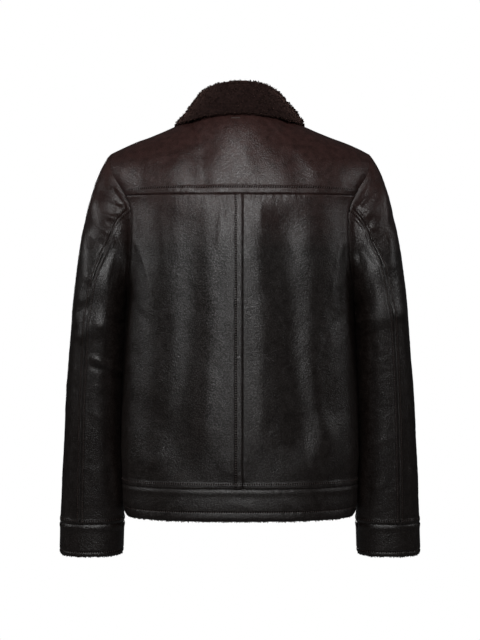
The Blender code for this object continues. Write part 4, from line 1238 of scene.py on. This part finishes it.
# The same kinds of crease in front, where the photograph doesn't look.
SLEEVE_FRONT_CREASES = {
    side: (
        Crease(side * 0.232, -0.150, side * 0.186, -0.178, 0.007, 0.0020, 0.002),
        Crease(side * 0.228, -0.192, side * 0.184, -0.214, 0.006, 0.0022, -0.002),
        Crease(side * 0.236, -0.216, side * 0.188, -0.240, 0.007, -0.0018, 0.002),
        Crease(side * 0.262, -0.300, side * 0.205, -0.325, 0.008, 0.0022, 0.003),
        Crease(side * 0.268, -0.345, side * 0.210, -0.360, 0.007, 0.0020, -0.003),
        Crease(side * 0.262, -0.372, side * 0.206, -0.400, 0.008, -0.0018, 0.003),
        Crease(side * 0.266, -0.470, side * 0.215, -0.492, 0.009, 0.0012, 0.003),
        Crease(side * 0.270, -0.600, side * 0.230, -0.618, 0.009, 0.0012, 0.003),
    )
    for side in (1, -1)
}


def sleeve_ring(turn, height):
    """The left sleeve's outer surface below the cap."""
    inner = read(SLEEVE_RINGS, "height", "inner", height)
    outer = read(SLEEVE_RINGS, "height", "outer", height)
    half_depth = read(SLEEVE_RINGS, "height", "half_depth", height)
    middle_y = read(SLEEVE_RINGS, "height", "middle_y", height)
    dip = read(SLEEVE_RINGS, "height", "dip", height)
    cosine, sine = np.cos(np.radians(turn)), np.sin(np.radians(turn))
    power = 2 / SLEEVE_SQUARENESS
    x = (inner + outer) / 2 + (outer - inner) / 2 * np.copysign(
        np.abs(cosine) ** power, cosine
    )
    depth = np.copysign(np.abs(sine) ** power, sine)
    return vectors(x, middle_y + half_depth * depth, height - dip * depth)


def sleeve_form(turn, along):
    """The plain left sleeve. along is 0 at the armhole, 1 at the cap's end, 2 at the cuff
    seam and 3 at the bottom of the cuff."""
    turn, along = np.broadcast_arrays(np.asarray(turn, float), along)
    height = CAP_END + (CUFF_SEAM - CAP_END) * (np.clip(along, 1.0, 2.0) - 1)
    height = height + (CUFF_BOTTOM - CUFF_SEAM) * np.maximum(along - 2, 0.0)
    low = sleeve_ring(turn, height)
    start = armhole(turn)
    end = sleeve_ring(turn, np.full(turn.shape, CAP_END))
    chord = length_of(end - start)[..., None]
    cosine, sine = np.cos(np.radians(turn)), np.sin(np.radians(turn))
    leave = vectors(0.62 + 0.30 * sine**2, 0.34 * sine, -0.50 - 0.25 * cosine)
    share = (np.maximum(-cosine, 0.0) ** 2)[..., None]
    leave = unit(leave * (1 - share) + np.array((0.18, 0.0, -1.0)) * share)
    arrive = unit(sleeve_ring(turn, np.full(turn.shape, CAP_END - 0.01)) - end)
    up = np.minimum(along, 1.0)[..., None]
    cap = hermite(start, leave * chord * 0.7, end, arrive * chord * 0.6, up)
    return np.where((along <= 1)[..., None], cap, low)


def sleeve_outward(points):
    """Outwards on the left sleeve: away from a line down its middle."""
    height = np.minimum(points[..., 2], CAP_END)
    inner = read(SLEEVE_RINGS, "height", "inner", height)
    outer = read(SLEEVE_RINGS, "height", "outer", height)
    middle_x = (inner + outer) / 2
    middle_y = read(SLEEVE_RINGS, "height", "middle_y", height)
    x, y, z = points[..., 0], points[..., 1], points[..., 2]
    low = unit(vectors(x - middle_x, y - middle_y, np.zeros(z.shape)))
    high = vectors(x - middle_x + CAP_HEART_IN, y - middle_y, z - CAP_HEART_HEIGHT)
    share = smooth_step((z - CAP_END) / 0.06)[..., None]
    return low * (1 - share) + unit(high) * share


def sleeve_point(turn, along, side):
    """A sleeve with its large folds, which fade out at the armhole and cuff seam."""
    turn, along = np.broadcast_arrays(np.asarray(turn, float), along)
    point = sleeve_form(turn, along)
    near = np.radians(np.where(turn <= 180, turn, turn - 360)) * SLEEVE_RADIUS
    lift = np.zeros(turn.shape)
    for fold in SLEEVE_FOLDS:
        if fold.side != side:
            continue
        start = (math.radians(fold.turn_start) * SLEEVE_RADIUS, fold.z_start)
        end = (math.radians(fold.turn_end) * SLEEVE_RADIUS, fold.z_end)
        lift += fold_lift(
            near, point[..., 2], start, end, fold.half_width, fold.depth, 0.030
        )
    lift *= smooth_step(along / 0.25) * smooth_step((2 - along) / 0.2)
    point = point + unit(sleeve_outward(point)) * lift[..., None]
    point[..., 0] *= side
    return point


def crumple(points, side):
    """Fine creasing where the sleeve lies against the body, slanting down towards it."""
    x, y, z = points[..., 0] * side, points[..., 1], points[..., 2]
    cosine, sine = math.cos(CRUMPLE_SLANT), math.sin(CRUMPLE_SLANT)
    turned = vectors(x * cosine + z * sine, y, z * cosine - x * sine)
    ridges = 1 - 2.2 * np.abs(lumps(turned, (0.032, 0.030, 0.011), 5.3 + side))
    finer = 1 - 2.2 * np.abs(lumps(turned, (0.014, 0.014, 0.006), 9.1 + side))
    near_body = smooth_step((0.245 - x) / 0.045)
    bent = smooth_step((z + 0.49) / 0.10) * smooth_step((-0.10 - z) / 0.06)
    calm = 0.22 + 0.78 * near_body * bent
    return (0.0012 * ridges + 0.0007 * finer) * calm


def sleeve_lift(side, part):
    def lift(points, normals, s, s_end, t, t_end):
        total = soft_waves(points, 0.0010) + crumple(points, side)
        behind = smooth_step(normals[..., 1] / 0.5 + 0.3)
        before = smooth_step(-normals[..., 1] / 0.5 + 0.3)
        total += behind * crease_lift(SLEEVE_BACK_CREASES[side], points)
        inner = smooth_step((-normals[..., 0] * side - 0.5) / 0.3)
        total += 1.1 * inner * beside_arm(points)
        total += before * crease_lift(SLEEVE_FRONT_CREASES[side], points)
        ends = smooth_step(t / 0.010 + 0.1) * smooth_step(t_end / 0.008 + 0.1)
        total *= ends
        at_back, at_front = (s_end, s) if part == "upper" else (s, s_end)
        total *= smooth_step(at_front / 0.006 + 0.3)
        total += groove(at_back, 0.0012, 0.0013) + groove(at_front, 0.0009)
        total += pressed_band(at_back, SLEEVE_STITCH, 0.0011)
        total += armhole_edge(t, points, 0.0045) + groove(t_end, 0.0008)
        total += pucker(at_back, t, 1.3, 0.010) + pucker(t_end, s, 0.2)
        total += pucker(t, s, 2.7, 0.012, 0.0004)
        total += pressed_band(t_end, CUFF_BAND, 0.0007)
        return total

    return lift


def make_sleeves():
    spans = {
        "upper": (FRONT_SLEEVE_SEAM, BACK_SLEEVE_SEAM),
        "under": (BACK_SLEEVE_SEAM, FRONT_SLEEVE_SEAM + 360),
    }
    for side, word in ((1, "left"), (-1, "right")):

        def surface(u, v, side=side):
            return sleeve_point(u, v, side)

        def outward(points, side=side):
            return sleeve_outward(points * (side, 1, 1)) * (side, 1, 1)

        rows = []
        for part, span in spans.items():
            ends = (None, SLEEVE_STITCH) if part == "upper" else (SLEEVE_STITCH, None)
            step = CLOTH_STEP * 1.2
            us = places_along(lambda f: surface(f, 1.2), span, step, *ends)
            middle = sum(span) / 2
            vs = places_along(
                lambda f: surface(middle, f), (0.0, 2.0), step, None, CUFF_BAND
            )
            lift = sleeve_lift(side, part)
            grid = cloth_grid(surface, us, vs, outward, lift, "low")
            name = f"sleeve_{part}_{word}"
            edge = "right" if part == "upper" else "left"
            sewn = [(edge, SLEEVE_STITCH), ("high", CUFF_BAND)]
            rows += leather_piece(f"{name}_leather", (name,), grid, sewn)
        stitches(f"sleeve_{word}_stitches", rows)


make_sleeves()


# ---------------------------------------------------------------- cuffs
# A straight band sewn round the end of each sleeve, its allowance pressed up onto the
# sleeve, with a row of stitches near its turned lower edge.

CUFF_STITCH = 0.0078


def cuff_lift(points, normals, s, s_end, t, t_end):
    total = soft_waves(points, 0.0008)
    total += groove(t, 0.0010, 0.0016) + groove(t_end, 0.0014, 0.0020)
    total += 0.0009 * np.exp(-(((t - 0.006) / 0.004) ** 2))
    total += -0.0010 * np.exp(-(((t_end - CUFF_STITCH) / 0.0012) ** 2))
    total += pucker(t_end - CUFF_STITCH, s, 0.6, 0.007) + pucker(t, s, 1.2, 0.008)
    # The band's first and last columns are the same place, so their lift is shared.
    share = smooth_step(s / 0.010)
    return total * share + total[:, -1:] * (1 - share)


def make_cuffs():
    rows = []
    for side, word in ((1, "left"), (-1, "right")):

        def surface(u, v, side=side):
            return sleeve_point(u, v, side)

        def outward(points, side=side):
            return sleeve_outward(points * (side, 1, 1)) * (side, 1, 1)

        start = BACK_SLEEVE_SEAM + 90.0
        us = np.linspace(start, start + 360.0, 120)
        vs = places_along(
            lambda f: surface(90.0, f), (2.0, 3.0), CLOTH_STEP, None, CUFF_STITCH
        )
        grid = cloth_grid(surface, us, vs, outward, cuff_lift)
        joined = grid.normals.copy()
        joined[:, 0] = joined[:, -1] = unit(joined[:, 0] + joined[:, -1])
        grid = grid._replace(normals=joined)
        name = f"cuff_{word}"
        sewn = [("high", CUFF_STITCH)]
        rows += leather_piece(
            f"{name}_leather", (name,), grid, sewn, True
        )
    stitches("cuff_stitches", rows)


make_cuffs()


# ---------------------------------------------------------------- collar
# A turned-down collar of the same sheepskin with its pile outwards. It stands up from the
# neck seam, rolls over and falls to a free edge that leans out at the front. Its curls
# are separate locks on a lumpy ground.

CollarSection = namedtuple(
    "CollarSection", "turn faces stand fold_out fold_radius edge_out edge_up bulge"
)
COLLAR_SECTIONS = (
    CollarSection(0.0, 0.0, 0.0435, 0.0020, 0.0110, 0.0290, -0.0125, 0.004),
    CollarSection(30.0, 30.0, 0.0430, -0.0020, 0.0105, 0.0280, -0.0120, 0.004),
    CollarSection(60.0, 62.0, 0.0415, -0.0110, 0.0095, 0.0265, -0.0095, 0.004),
    CollarSection(90.0, 90.0, 0.0380, -0.0165, 0.0090, 0.0262, -0.0040, 0.005),
    CollarSection(105.0, 103.0, 0.0374, -0.0135, 0.0090, 0.0292, -0.0005, 0.006),
    CollarSection(120.0, 116.0, 0.0370, -0.0100, 0.0090, 0.0330, 0.0000, 0.006),
    CollarSection(135.0, 126.0, 0.0352, -0.0050, 0.0090, 0.0400, -0.0125, 0.005),
    CollarSection(150.0, 134.0, 0.0330, 0.0000, 0.0090, 0.0480, -0.0310, 0.004),
    CollarSection(175.0, 146.0, 0.0250, 0.0060, 0.0090, 0.0640, -0.0720, 0.004),
)
COLLAR_WALL = 0.006
COLLAR_LAST_TURN = 173.0
COLLAR_STEP = 0.0016
COLLAR_FOOT = 0.0005
COLLAR_FOOT_RISE = 0.0015
COLLAR_HOLLOW = 0.001
LEFT_FLATTER = 0.0060
RIGHT_FLATTER = 0.0020
RIM_CURLS = 620
COLLAR_ARC = (180.0, 20.0)  # degrees round the fold
CURL_COUNT = 3400


def collar_paths(turns, shares):
    """Each section's line over the pile, out from and up from the neck seam. shares run
    0 to 1 up the stand, 1 to 2 over the fold and 2 to 3 down to the free edge."""
    signed, share = np.meshgrid(turns, shares, indexing="ij")
    turn = np.abs(signed)
    stand, middle, radius, edge_out, edge_up, bulge = (
        read(COLLAR_SECTIONS, "turn", column, turn)
        for column in ("stand", "fold_out", "fold_radius", "edge_out", "edge_up", "bulge")
    )
    at_side = np.exp(-(((turn - 95.0) / 35.0) ** 2))
    bulge = bulge - at_side * np.where(signed > 0, LEFT_FLATTER, RIGHT_FLATTER)
    shoulder = stand - radius
    foot = COLLAR_FOOT + COLLAR_FOOT_RISE * smooth_step((turn - 150.0) / 30.0)
    up = np.clip(share, 0.0, 1.0)
    first, half, last = (1 - up) * (1 - 2 * up), 4 * up * (1 - up), up * (2 * up - 1)
    out_half = -COLLAR_WALL * 0.9 + middle * 0.2 - COLLAR_HOLLOW
    out = -COLLAR_WALL * first + out_half * half + (middle - radius) * last
    rise = foot * first + shoulder / 2 * half + shoulder * last
    angle = COLLAR_ARC[0] + (COLLAR_ARC[1] - COLLAR_ARC[0]) * np.clip(share - 1, 0, 1)
    angle = np.radians(angle)
    over = share > 1
    out = np.where(over, middle + radius * np.cos(angle), out)
    rise = np.where(over, shoulder + radius * np.sin(angle), rise)
    run_out, run_up = edge_out - out, edge_up - rise
    long = np.hypot(run_out, run_up)
    down = np.clip(share - 2, 0.0, 1.0)
    swell = bulge * np.sin(np.pi * down) / np.maximum(long, 1e-6)
    falling = share > 2
    out = np.where(falling, out + run_out * down - run_up * swell, out)
    rise = np.where(falling, rise + run_up * down + run_out * swell, rise)
    return out, rise, np.radians(read(COLLAR_SECTIONS, "turn", "faces", turn))


def collar_grid(turns, shares):
    """The pile side and the skin side of the collar."""
    out, rise, faces = collar_paths(turns, shares)
    way_out, way_up = np.gradient(out, axis=1), np.gradient(rise, axis=1)
    long = np.hypot(way_out, way_up)
    under_out = out + way_up / long * COLLAR_WALL
    under_up = rise - way_out / long * COLLAR_WALL
    seam = neck_point(np.abs(turns))[:, None, :]
    side = np.where(turns >= 0, 1.0, -1.0)[:, None]
    grids = []
    for reach, height in ((out, rise), (under_out, under_up)):
        x = seam[..., 0] + np.sin(faces) * reach
        grids.append(
            vectors(x * side, seam[..., 1] + np.cos(faces) * reach, seam[..., 2] + height)
        )
    return grids


def fleece(points):
    """The lumpy ground of the pile: close clumps with finer ones on them."""
    broad = lumps(points, 0.0105, 4.2)
    clumps = 1 - 2.0 * np.abs(lumps(points, 0.0052, 14.2))
    fine = 1 - 2.0 * np.abs(lumps(points, 0.0026, 24.2))
    return 0.0007 * broad + 0.0007 * clumps + 0.0004 * fine - 0.0012


def curl_form():
    """One lock of wool as a short open ring of thin tube, 1 across."""
    made = bmesh.new()
    ring = bmesh.ops.create_circle(made, segments=3, radius=0.13)
    turn = Matrix.Rotation(math.radians(90), 3, "X")
    bmesh.ops.rotate(made, matrix=turn, verts=made.verts[:])
    bmesh.ops.translate(made, vec=(0.42, 0.0, 0.0), verts=made.verts[:])
    bmesh.ops.spin(
        made,
        geom=made.verts[:] + made.edges[:],
        cent=(0.0, 0.0, 0.0),
        axis=(0.0, 0.0, 1.0),
        dvec=(0.0, 0.0, 0.055),
        angle=math.radians(285),
        steps=6,
    )
    verts = np.array([vert.co[:] for vert in made.verts])
    made.verts.index_update()
    faces = [[vert.index for vert in face.verts] for face in made.faces]
    made.free()
    return verts, faces


def random_units(rng, normals):
    """Random directions along the surface that the normals stand on."""
    free = rng.normal(size=normals.shape)
    return unit(free - normals * (free * normals).sum(axis=-1)[:, None])


def make_collar():
    turns = np.linspace(-COLLAR_LAST_TURN, COLLAR_LAST_TURN, 261)
    shares = np.concatenate(
        [np.linspace(0, 1, 19)[:-1], np.linspace(1, 2, 16)[:-1], np.linspace(2, 3, 22)]
    )
    pile, skin = collar_grid(turns, shares)
    normals = grid_normals(pile, lambda points: points - skin)
    s, t = run_lengths(pile, 1), run_lengths(pile, 0)
    s_end, t_end = s[:, -1:] - s, t[-1:, :] - t
    rim = smooth_step(s / 0.003) * smooth_step(s_end / 0.0015 + 0.4)
    rim = rim * smooth_step(np.minimum(t, t_end) / 0.003 + 0.3)
    lift = fleece(pile) * rim - 0.0013
    lift = lift - 0.0020 * np.exp(-((s_end / 0.0022) ** 2))
    lift = lift - 0.0016 * np.exp(-((np.minimum(t, t_end) / 0.0022) ** 2))
    points = pile + normals * lift[..., None]
    grid = Grid(points, normals, s, s_end, t, t_end, lift)
    piece = make_wall("collar_pile", grid, (collar_wool, leather), inner=skin)
    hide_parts("collar")
    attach(piece, "jacket")
    return grid


def make_curls(name, places, normals, size, seed, finish_of, sink=0.25, tilt=0.5):
    """Locks of wool at places on a surface, each turned and sized in its own way."""
    rng = np.random.default_rng(seed)
    up = unit(normals + tilt * rng.normal(size=normals.shape))
    along = random_units(rng, up)
    scale = size * rng.uniform(0.65, 1.30, size=(len(places), 1))
    sizes = scale * rng.uniform(0.8, 1.2, size=(len(places), 3))
    sizes[:, 2] *= 3.0
    centres = places - normals * scale * sink
    piece = copies(name, curl_form(), centres, along, up, sizes, (finish_of,))
    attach(piece, "jacket")
    return piece


def on_grid(grid, rows, columns):
    return grid.points[rows, columns], grid.normals[rows, columns]


collar_wool = pile_finish(
    "curly collar wool", (0.0060, 0.0026, 0.0023), (0.0285, 0.0145, 0.0125), 260.0
)
collar = make_collar()
chance = np.random.default_rng(41)
places, facing = on_grid(
    collar,
    chance.integers(1, collar.points.shape[0] - 1, CURL_COUNT),
    chance.integers(11, collar.points.shape[1] - 1, CURL_COUNT),
)
rim_rows = chance.integers(1, collar.points.shape[0] - 1, RIM_CURLS)
rim = collar.points[rim_rows, -1]
downward = unit(rim - collar.points[rim_rows, -6])
rim = rim + downward * 0.0008
places = np.concatenate([places, rim])
facing = np.concatenate([facing, unit(collar.normals[rim_rows, -2] + downward)])
make_curls("collar_curls", places, facing, 0.0026, 43, collar_wool, 0.45, 0.35)


# ---------------------------------------------------------------- wool at the edges
# The clipped pile shows as a fine fringe under the hem and the cuffs, where the skin is
# turned in.

EDGE_LOCKS = 760


def edge_wool():
    rng = np.random.default_rng(77)
    angle = rng.uniform(0.0, 1.0, EDGE_LOCKS)
    side = np.where(rng.uniform(size=EDGE_LOCKS) < 0.5, -1, 1)
    back = rng.uniform(size=EDGE_LOCKS) < 0.5
    height = np.full(EDGE_LOCKS, HEM_BOTTOM)
    behind = body_point(angle, height, side, True, 0.0)
    before = body_point(angle, height, side, False, FRONT_EDGE_X + 0.004)
    hem = np.where(back[:, None], behind, before)
    inward = unit(hem * (-1, -1, 0))
    hem = hem + inward * (0.0028 + 0.0012 * rng.uniform(size=(EDGE_LOCKS, 1)))
    turn = rng.uniform(0.0, 360.0, EDGE_LOCKS // 2)
    cuffs = []
    for arm in (1, -1):
        ring = sleeve_form(turn, np.full(turn.shape, 3.0))
        inward = -unit(sleeve_outward(ring))
        cuffs.append((ring + inward * 0.0030) * (arm, 1, 1))
    places = np.concatenate([hem, *cuffs])
    down = np.tile((0.0, 0.0, -1.0), (len(places), 1))
    make_curls("edge_locks", places, down, 0.0019, 78, inner_pile, 0.55, 0.35)


edge_wool()


# ---------------------------------------------------------------- zip
# A metal zip behind the fronts' edges: two woven tapes, two rows of teeth that mesh, the
# box at the bottom, and the slider with its pull, which are the frame's own pieces.

TAPE_INNER_X = 0.0034
TAPE_OUTER_X = 0.0190
TAPE_WALL = 0.0010
TAPE_DEPTH = PIECE_WALL + 0.0006
TAPE_START = -0.985
TAPE_END = 1.97
CHAIN_DEPTH = TAPE_DEPTH + TAPE_WALL / 2
CHAIN_START = -0.80
SLIDER_PLACE = 1.80
SLIDER_LENGTH = 0.012
TOOTH_PITCH = 0.0022
TOOTH_SIZE = (0.0034, 0.0023, 0.00095)
TOOTH_OUT = 0.0009


def zip_surface(x, place):
    """Points of the fronts' outer surface at places up the zip, out from the middle."""
    x, place = np.broadcast_arrays(np.asarray(x, float), place)
    hem_share = (HEM_SEAM - HEM_BOTTOM) / (CHEST_LINE - HEM_SEAM)
    rise = np.where(place < 0, place * hem_share, place)
    surface = front_surface(1)
    low, high = np.full(x.shape, -0.2), np.full(x.shape, 0.4)
    for _ in range(24):
        middle = (low + high) / 2
        short = surface(middle, rise)[..., 0] < x
        low, high = np.where(short, middle, low), np.where(short, high, middle)
    return surface(low, rise)


def zip_point(x, place, depth):
    """Points below the fronts' surface, at places up the zip."""
    x, place = np.broadcast_arrays(np.asarray(x, float), place)
    here = zip_surface(np.abs(x), place)
    reach = np.maximum(np.abs(x), FRONT_EDGE_X)
    across = zip_surface(reach + 0.001, place) - zip_surface(reach - 0.001, place)
    up = zip_surface(np.abs(x), place + 0.01) - zip_surface(np.abs(x), place - 0.01)
    inwards = np.cross(up, across)
    inwards[..., 0] *= np.abs(x) >= FRONT_EDGE_X
    inwards = unit(inwards)
    inwards[..., 1] = np.abs(inwards[..., 1])
    here = here + inwards * depth
    here[..., 0] = np.copysign(here[..., 0], x)
    return here


def tape_finish():
    """A twill tape, in ribs that run up it."""
    made, tree, shader = new_finish("woven zip tape")
    link = tree.links.new
    place = node(tree, "ShaderNodeUVMap", (-1100, 0), {"uv_map": "cut"})
    ribs = node(
        tree,
        "ShaderNodeTexWave",
        (-850, 120),
        {"wave_type": "BANDS", "bands_direction": "DIAGONAL"},
        {"Scale": 180.0, "Distortion": 0.6},
    )
    link(place.outputs["UV"], ribs.inputs["Vector"])
    weft = node(
        tree,
        "ShaderNodeTexWave",
        (-850, -120),
        {"wave_type": "BANDS", "bands_direction": "Y"},
        {"Scale": 420.0, "Distortion": 0.3},
    )
    link(place.outputs["UV"], weft.inputs["Vector"])
    both = sum_of(tree, ribs.outputs["Fac"], weft.outputs["Fac"], (-600, 0), "MULTIPLY")
    link(
        mixed(tree, both, (0.004, 0.0035, 0.0035), (0.016, 0.014, 0.013), (-350, 80)),
        shader.inputs["Base Color"],
    )
    shader.inputs["Roughness"].default_value = 0.85
    bump = node(
        tree, "ShaderNodeBump", (-350, -160), {}, {"Strength": 0.7, "Distance": 0.0003}
    )
    link(both, bump.inputs["Height"])
    link(bump.outputs["Normal"], shader.inputs["Normal"])
    return made


def metal_finish():
    """Dark nickel, brushed and a little rubbed by wear."""
    made, tree, shader = new_finish("dark nickel")
    link = tree.links.new
    place = node(tree, "ShaderNodeTexCoord", (-1000, 0))
    stretch = node(
        tree, "ShaderNodeMapping", (-820, 0), {}, {"Scale": (1.0, 1.0, 0.06)}
    )
    link(place.outputs["Object"], stretch.inputs["Vector"])
    brushed = node(
        tree, "ShaderNodeTexNoise", (-620, 0), {}, {"Scale": 5200.0, "Detail": 2.0}
    )
    link(stretch.outputs["Vector"], brushed.inputs["Vector"])
    wear_and_painted_light = node(
        tree, "ShaderNodeTexNoise", (-620, -220), {}, {"Scale": 420.0, "Detail": 4.0}
    )
    link(place.outputs["Object"], wear_and_painted_light.inputs["Vector"])
    link(
        mixed(tree, wear_and_painted_light.outputs["Fac"], (0.12, 0.115, 0.11), (0.30, 0.28, 0.26), (-300, 60)),
        shader.inputs["Base Color"],
    )
    link(
        mapped(tree, brushed.outputs["Fac"], 0.3, 0.7, 0.22, 0.42, (-300, -120)),
        shader.inputs["Roughness"],
    )
    shader.inputs["Metallic"].default_value = 1.0
    bump = node(
        tree, "ShaderNodeBump", (-300, -340), {}, {"Strength": 0.15, "Distance": 0.0001}
    )
    link(brushed.outputs["Fac"], bump.inputs["Height"])
    link(bump.outputs["Normal"], shader.inputs["Normal"])
    return made


woven = tape_finish()
metal = metal_finish()


def make_tapes():
    places = np.linspace(TAPE_START, TAPE_END, 260)
    across = np.linspace(TAPE_INNER_X, TAPE_OUTER_X, 9)
    for side, word in ((1, "left"), (-1, "right")):
        x, place = np.meshgrid(across * side, places)
        outer = zip_point(x, place, TAPE_DEPTH)
        inner = zip_point(x, place, TAPE_DEPTH + TAPE_WALL)
        s, t = run_lengths(outer, 1), run_lengths(outer, 0)
        normals = unit(outer - inner)
        flat = np.zeros(s.shape)
        grid = Grid(outer, normals, s, s[:, -1:] - s, t, t[-1:, :] - t, flat)
        name = f"zip_tape_{word}"
        piece = make_wall(f"{name}_woven", grid, (woven, woven), inner=inner)
        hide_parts(name)
        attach(piece, "jacket")


def tooth_form():
    made = bmesh.new()
    bmesh.ops.create_cube(made, size=1.0)
    bmesh.ops.bevel(
        made,
        geom=made.edges[:],
        offset=0.13,
        segments=1,
        profile=0.5,
        affect="EDGES",
    )
    verts = np.array([vert.co[:] for vert in made.verts])
    made.verts.index_update()
    faces = [[vert.index for vert in face.verts] for face in made.faces]
    made.free()
    return verts, faces


def make_teeth():
    places = np.linspace(CHAIN_START, SLIDER_PLACE, 500)
    line = zip_point(np.zeros(500), places, CHAIN_DEPTH)
    runs = run_lengths(line, 0)
    clear = SLIDER_LENGTH / 2 + 0.001
    count = int((runs[-1] - clear) / (TOOTH_PITCH / 2))
    wanted = (np.arange(count) + 0.5) * TOOTH_PITCH / 2
    at = np.interp(wanted, runs, places)
    centres = zip_point(np.zeros(count), at, CHAIN_DEPTH)
    ahead = zip_point(np.zeros(count), at + 0.004, CHAIN_DEPTH)
    up_zip = unit(ahead - centres)
    across = np.tile((1.0, 0.0, 0.0), (count, 1))
    side = np.where(np.arange(count) % 2 == 0, 1.0, -1.0)[:, None]
    centres = centres + across * side * TOOTH_OUT
    piece = copies(
        "zip_teeth", tooth_form(), centres, across, up_zip, TOOTH_SIZE, (metal,), False
    )
    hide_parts("zip_chain")
    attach(piece, "jacket")


make_tapes()
make_teeth()
for name in ("zip_box", "zip_slider", "zip_pull"):
    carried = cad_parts[name]
    for slot in carried.material_slots:
        slot.material = metal


# ---------------------------------------------------------------- studio
# A pale floor, a white surround, one large soft light high behind the camera and two low
# fills, as for a catalogue picture of the back.

VIEW_DISTANCE = 2.6
VIEW_HEIGHT = -0.347
LENS_MM = 88.09
FLOOR_HEIGHT = -1.150


def make_floor():
    made = bmesh.new()
    bmesh.ops.create_grid(made, x_segments=2, y_segments=2, size=30.0)
    floor = add_piece("studio_floor", made, (floor_finish(),))
    floor.location.z = FLOOR_HEIGHT


def floor_finish():
    """Pale to the camera, and too dull to show in the leather."""
    made, tree, shader = new_finish("pale floor")
    shader.inputs["Base Color"].default_value = (0.16, 0.16, 0.16, 1.0)
    shader.inputs["Roughness"].default_value = 0.9
    pale = node(tree, "ShaderNodeEmission", (0, -300), {}, {"Strength": 1.0})
    pale.inputs["Color"].default_value = (1.0, 1.0, 1.0, 1.0)
    path = node(tree, "ShaderNodeLightPath", (0, 400))
    mix = node(tree, "ShaderNodeMixShader", (300, 0))
    link = tree.links.new
    link(path.outputs["Is Camera Ray"], mix.inputs["Fac"])
    link(shader.outputs["BSDF"], mix.inputs[1])
    link(pale.outputs["Emission"], mix.inputs[2])
    link(mix.outputs["Shader"], tree.nodes["Material Output"].inputs["Surface"])
    return made


def soft_light(name, place, aim, size, power, colour=(1.0, 1.0, 1.0)):
    lamp = bpy.data.lights.new(name, "AREA")
    lamp.shape = "RECTANGLE"
    lamp.size, lamp.size_y = size
    lamp.energy = power
    lamp.color = colour
    made = bpy.data.objects.new(name, lamp)
    made.location = place
    way = Vector(aim) - Vector(place)
    made.rotation_euler = way.to_track_quat("-Z", "Y").to_euler()
    bpy.context.scene.collection.objects.link(made)


def surround():
    """White to the camera, and dim grey to everything else."""
    world = bpy.data.worlds.new("studio")
    world.use_nodes = True
    tree = world.node_tree
    link = tree.links.new
    output = tree.nodes["World Output"]
    dim = tree.nodes["Background"]
    dim.inputs["Color"].default_value = (1.0, 1.0, 1.0, 1.0)
    dim.inputs["Strength"].default_value = 0.036
    white = node(tree, "ShaderNodeBackground", (0, -200), {}, {"Strength": 1.0})
    white.inputs["Color"].default_value = (1.0, 1.0, 1.0, 1.0)
    path = node(tree, "ShaderNodeLightPath", (-200, 300))
    mix = node(tree, "ShaderNodeMixShader", (300, 0))
    link(path.outputs["Is Camera Ray"], mix.inputs["Fac"])
    link(dim.outputs["Background"], mix.inputs[1])
    link(white.outputs["Background"], mix.inputs[2])
    link(mix.outputs["Shader"], output.inputs["Surface"])
    bpy.context.scene.world = world


def make_camera():
    lens = bpy.data.cameras.new("camera")
    lens.sensor_fit = "AUTO"
    lens.sensor_width = 36.0
    lens.lens = LENS_MM
    view = bpy.data.objects.new("camera", lens)
    view.location = (0.0, VIEW_DISTANCE, VIEW_HEIGHT)
    view.rotation_euler = (math.radians(90), 0.0, math.radians(180))
    bpy.context.scene.collection.objects.link(view)
    bpy.context.scene.camera = view


make_floor()
surround()
make_camera()
MIDDLE = (0.0, 0.0, -0.30)
soft_light("key", (0.17, 2.40, 0.90), MIDDLE, (0.70, 0.60), 37.0)
soft_light("strip", (0.05, 3.00, -0.30), (0.0, 0.0, -0.42), (0.30, 1.20), 8.0)
soft_light("side_left", (2.5, 0.60, 0.5), MIDDLE, (0.7, 0.9), 15.0)
soft_light("side_right", (-2.6, 0.50, 0.5), MIDDLE, (0.7, 0.9), 10.0)
soft_light("front", (0.2, -2.4, -0.1), MIDDLE, (1.4, 1.0), 20.0)
scene = bpy.context.scene
scene.view_settings.view_transform = "Standard"

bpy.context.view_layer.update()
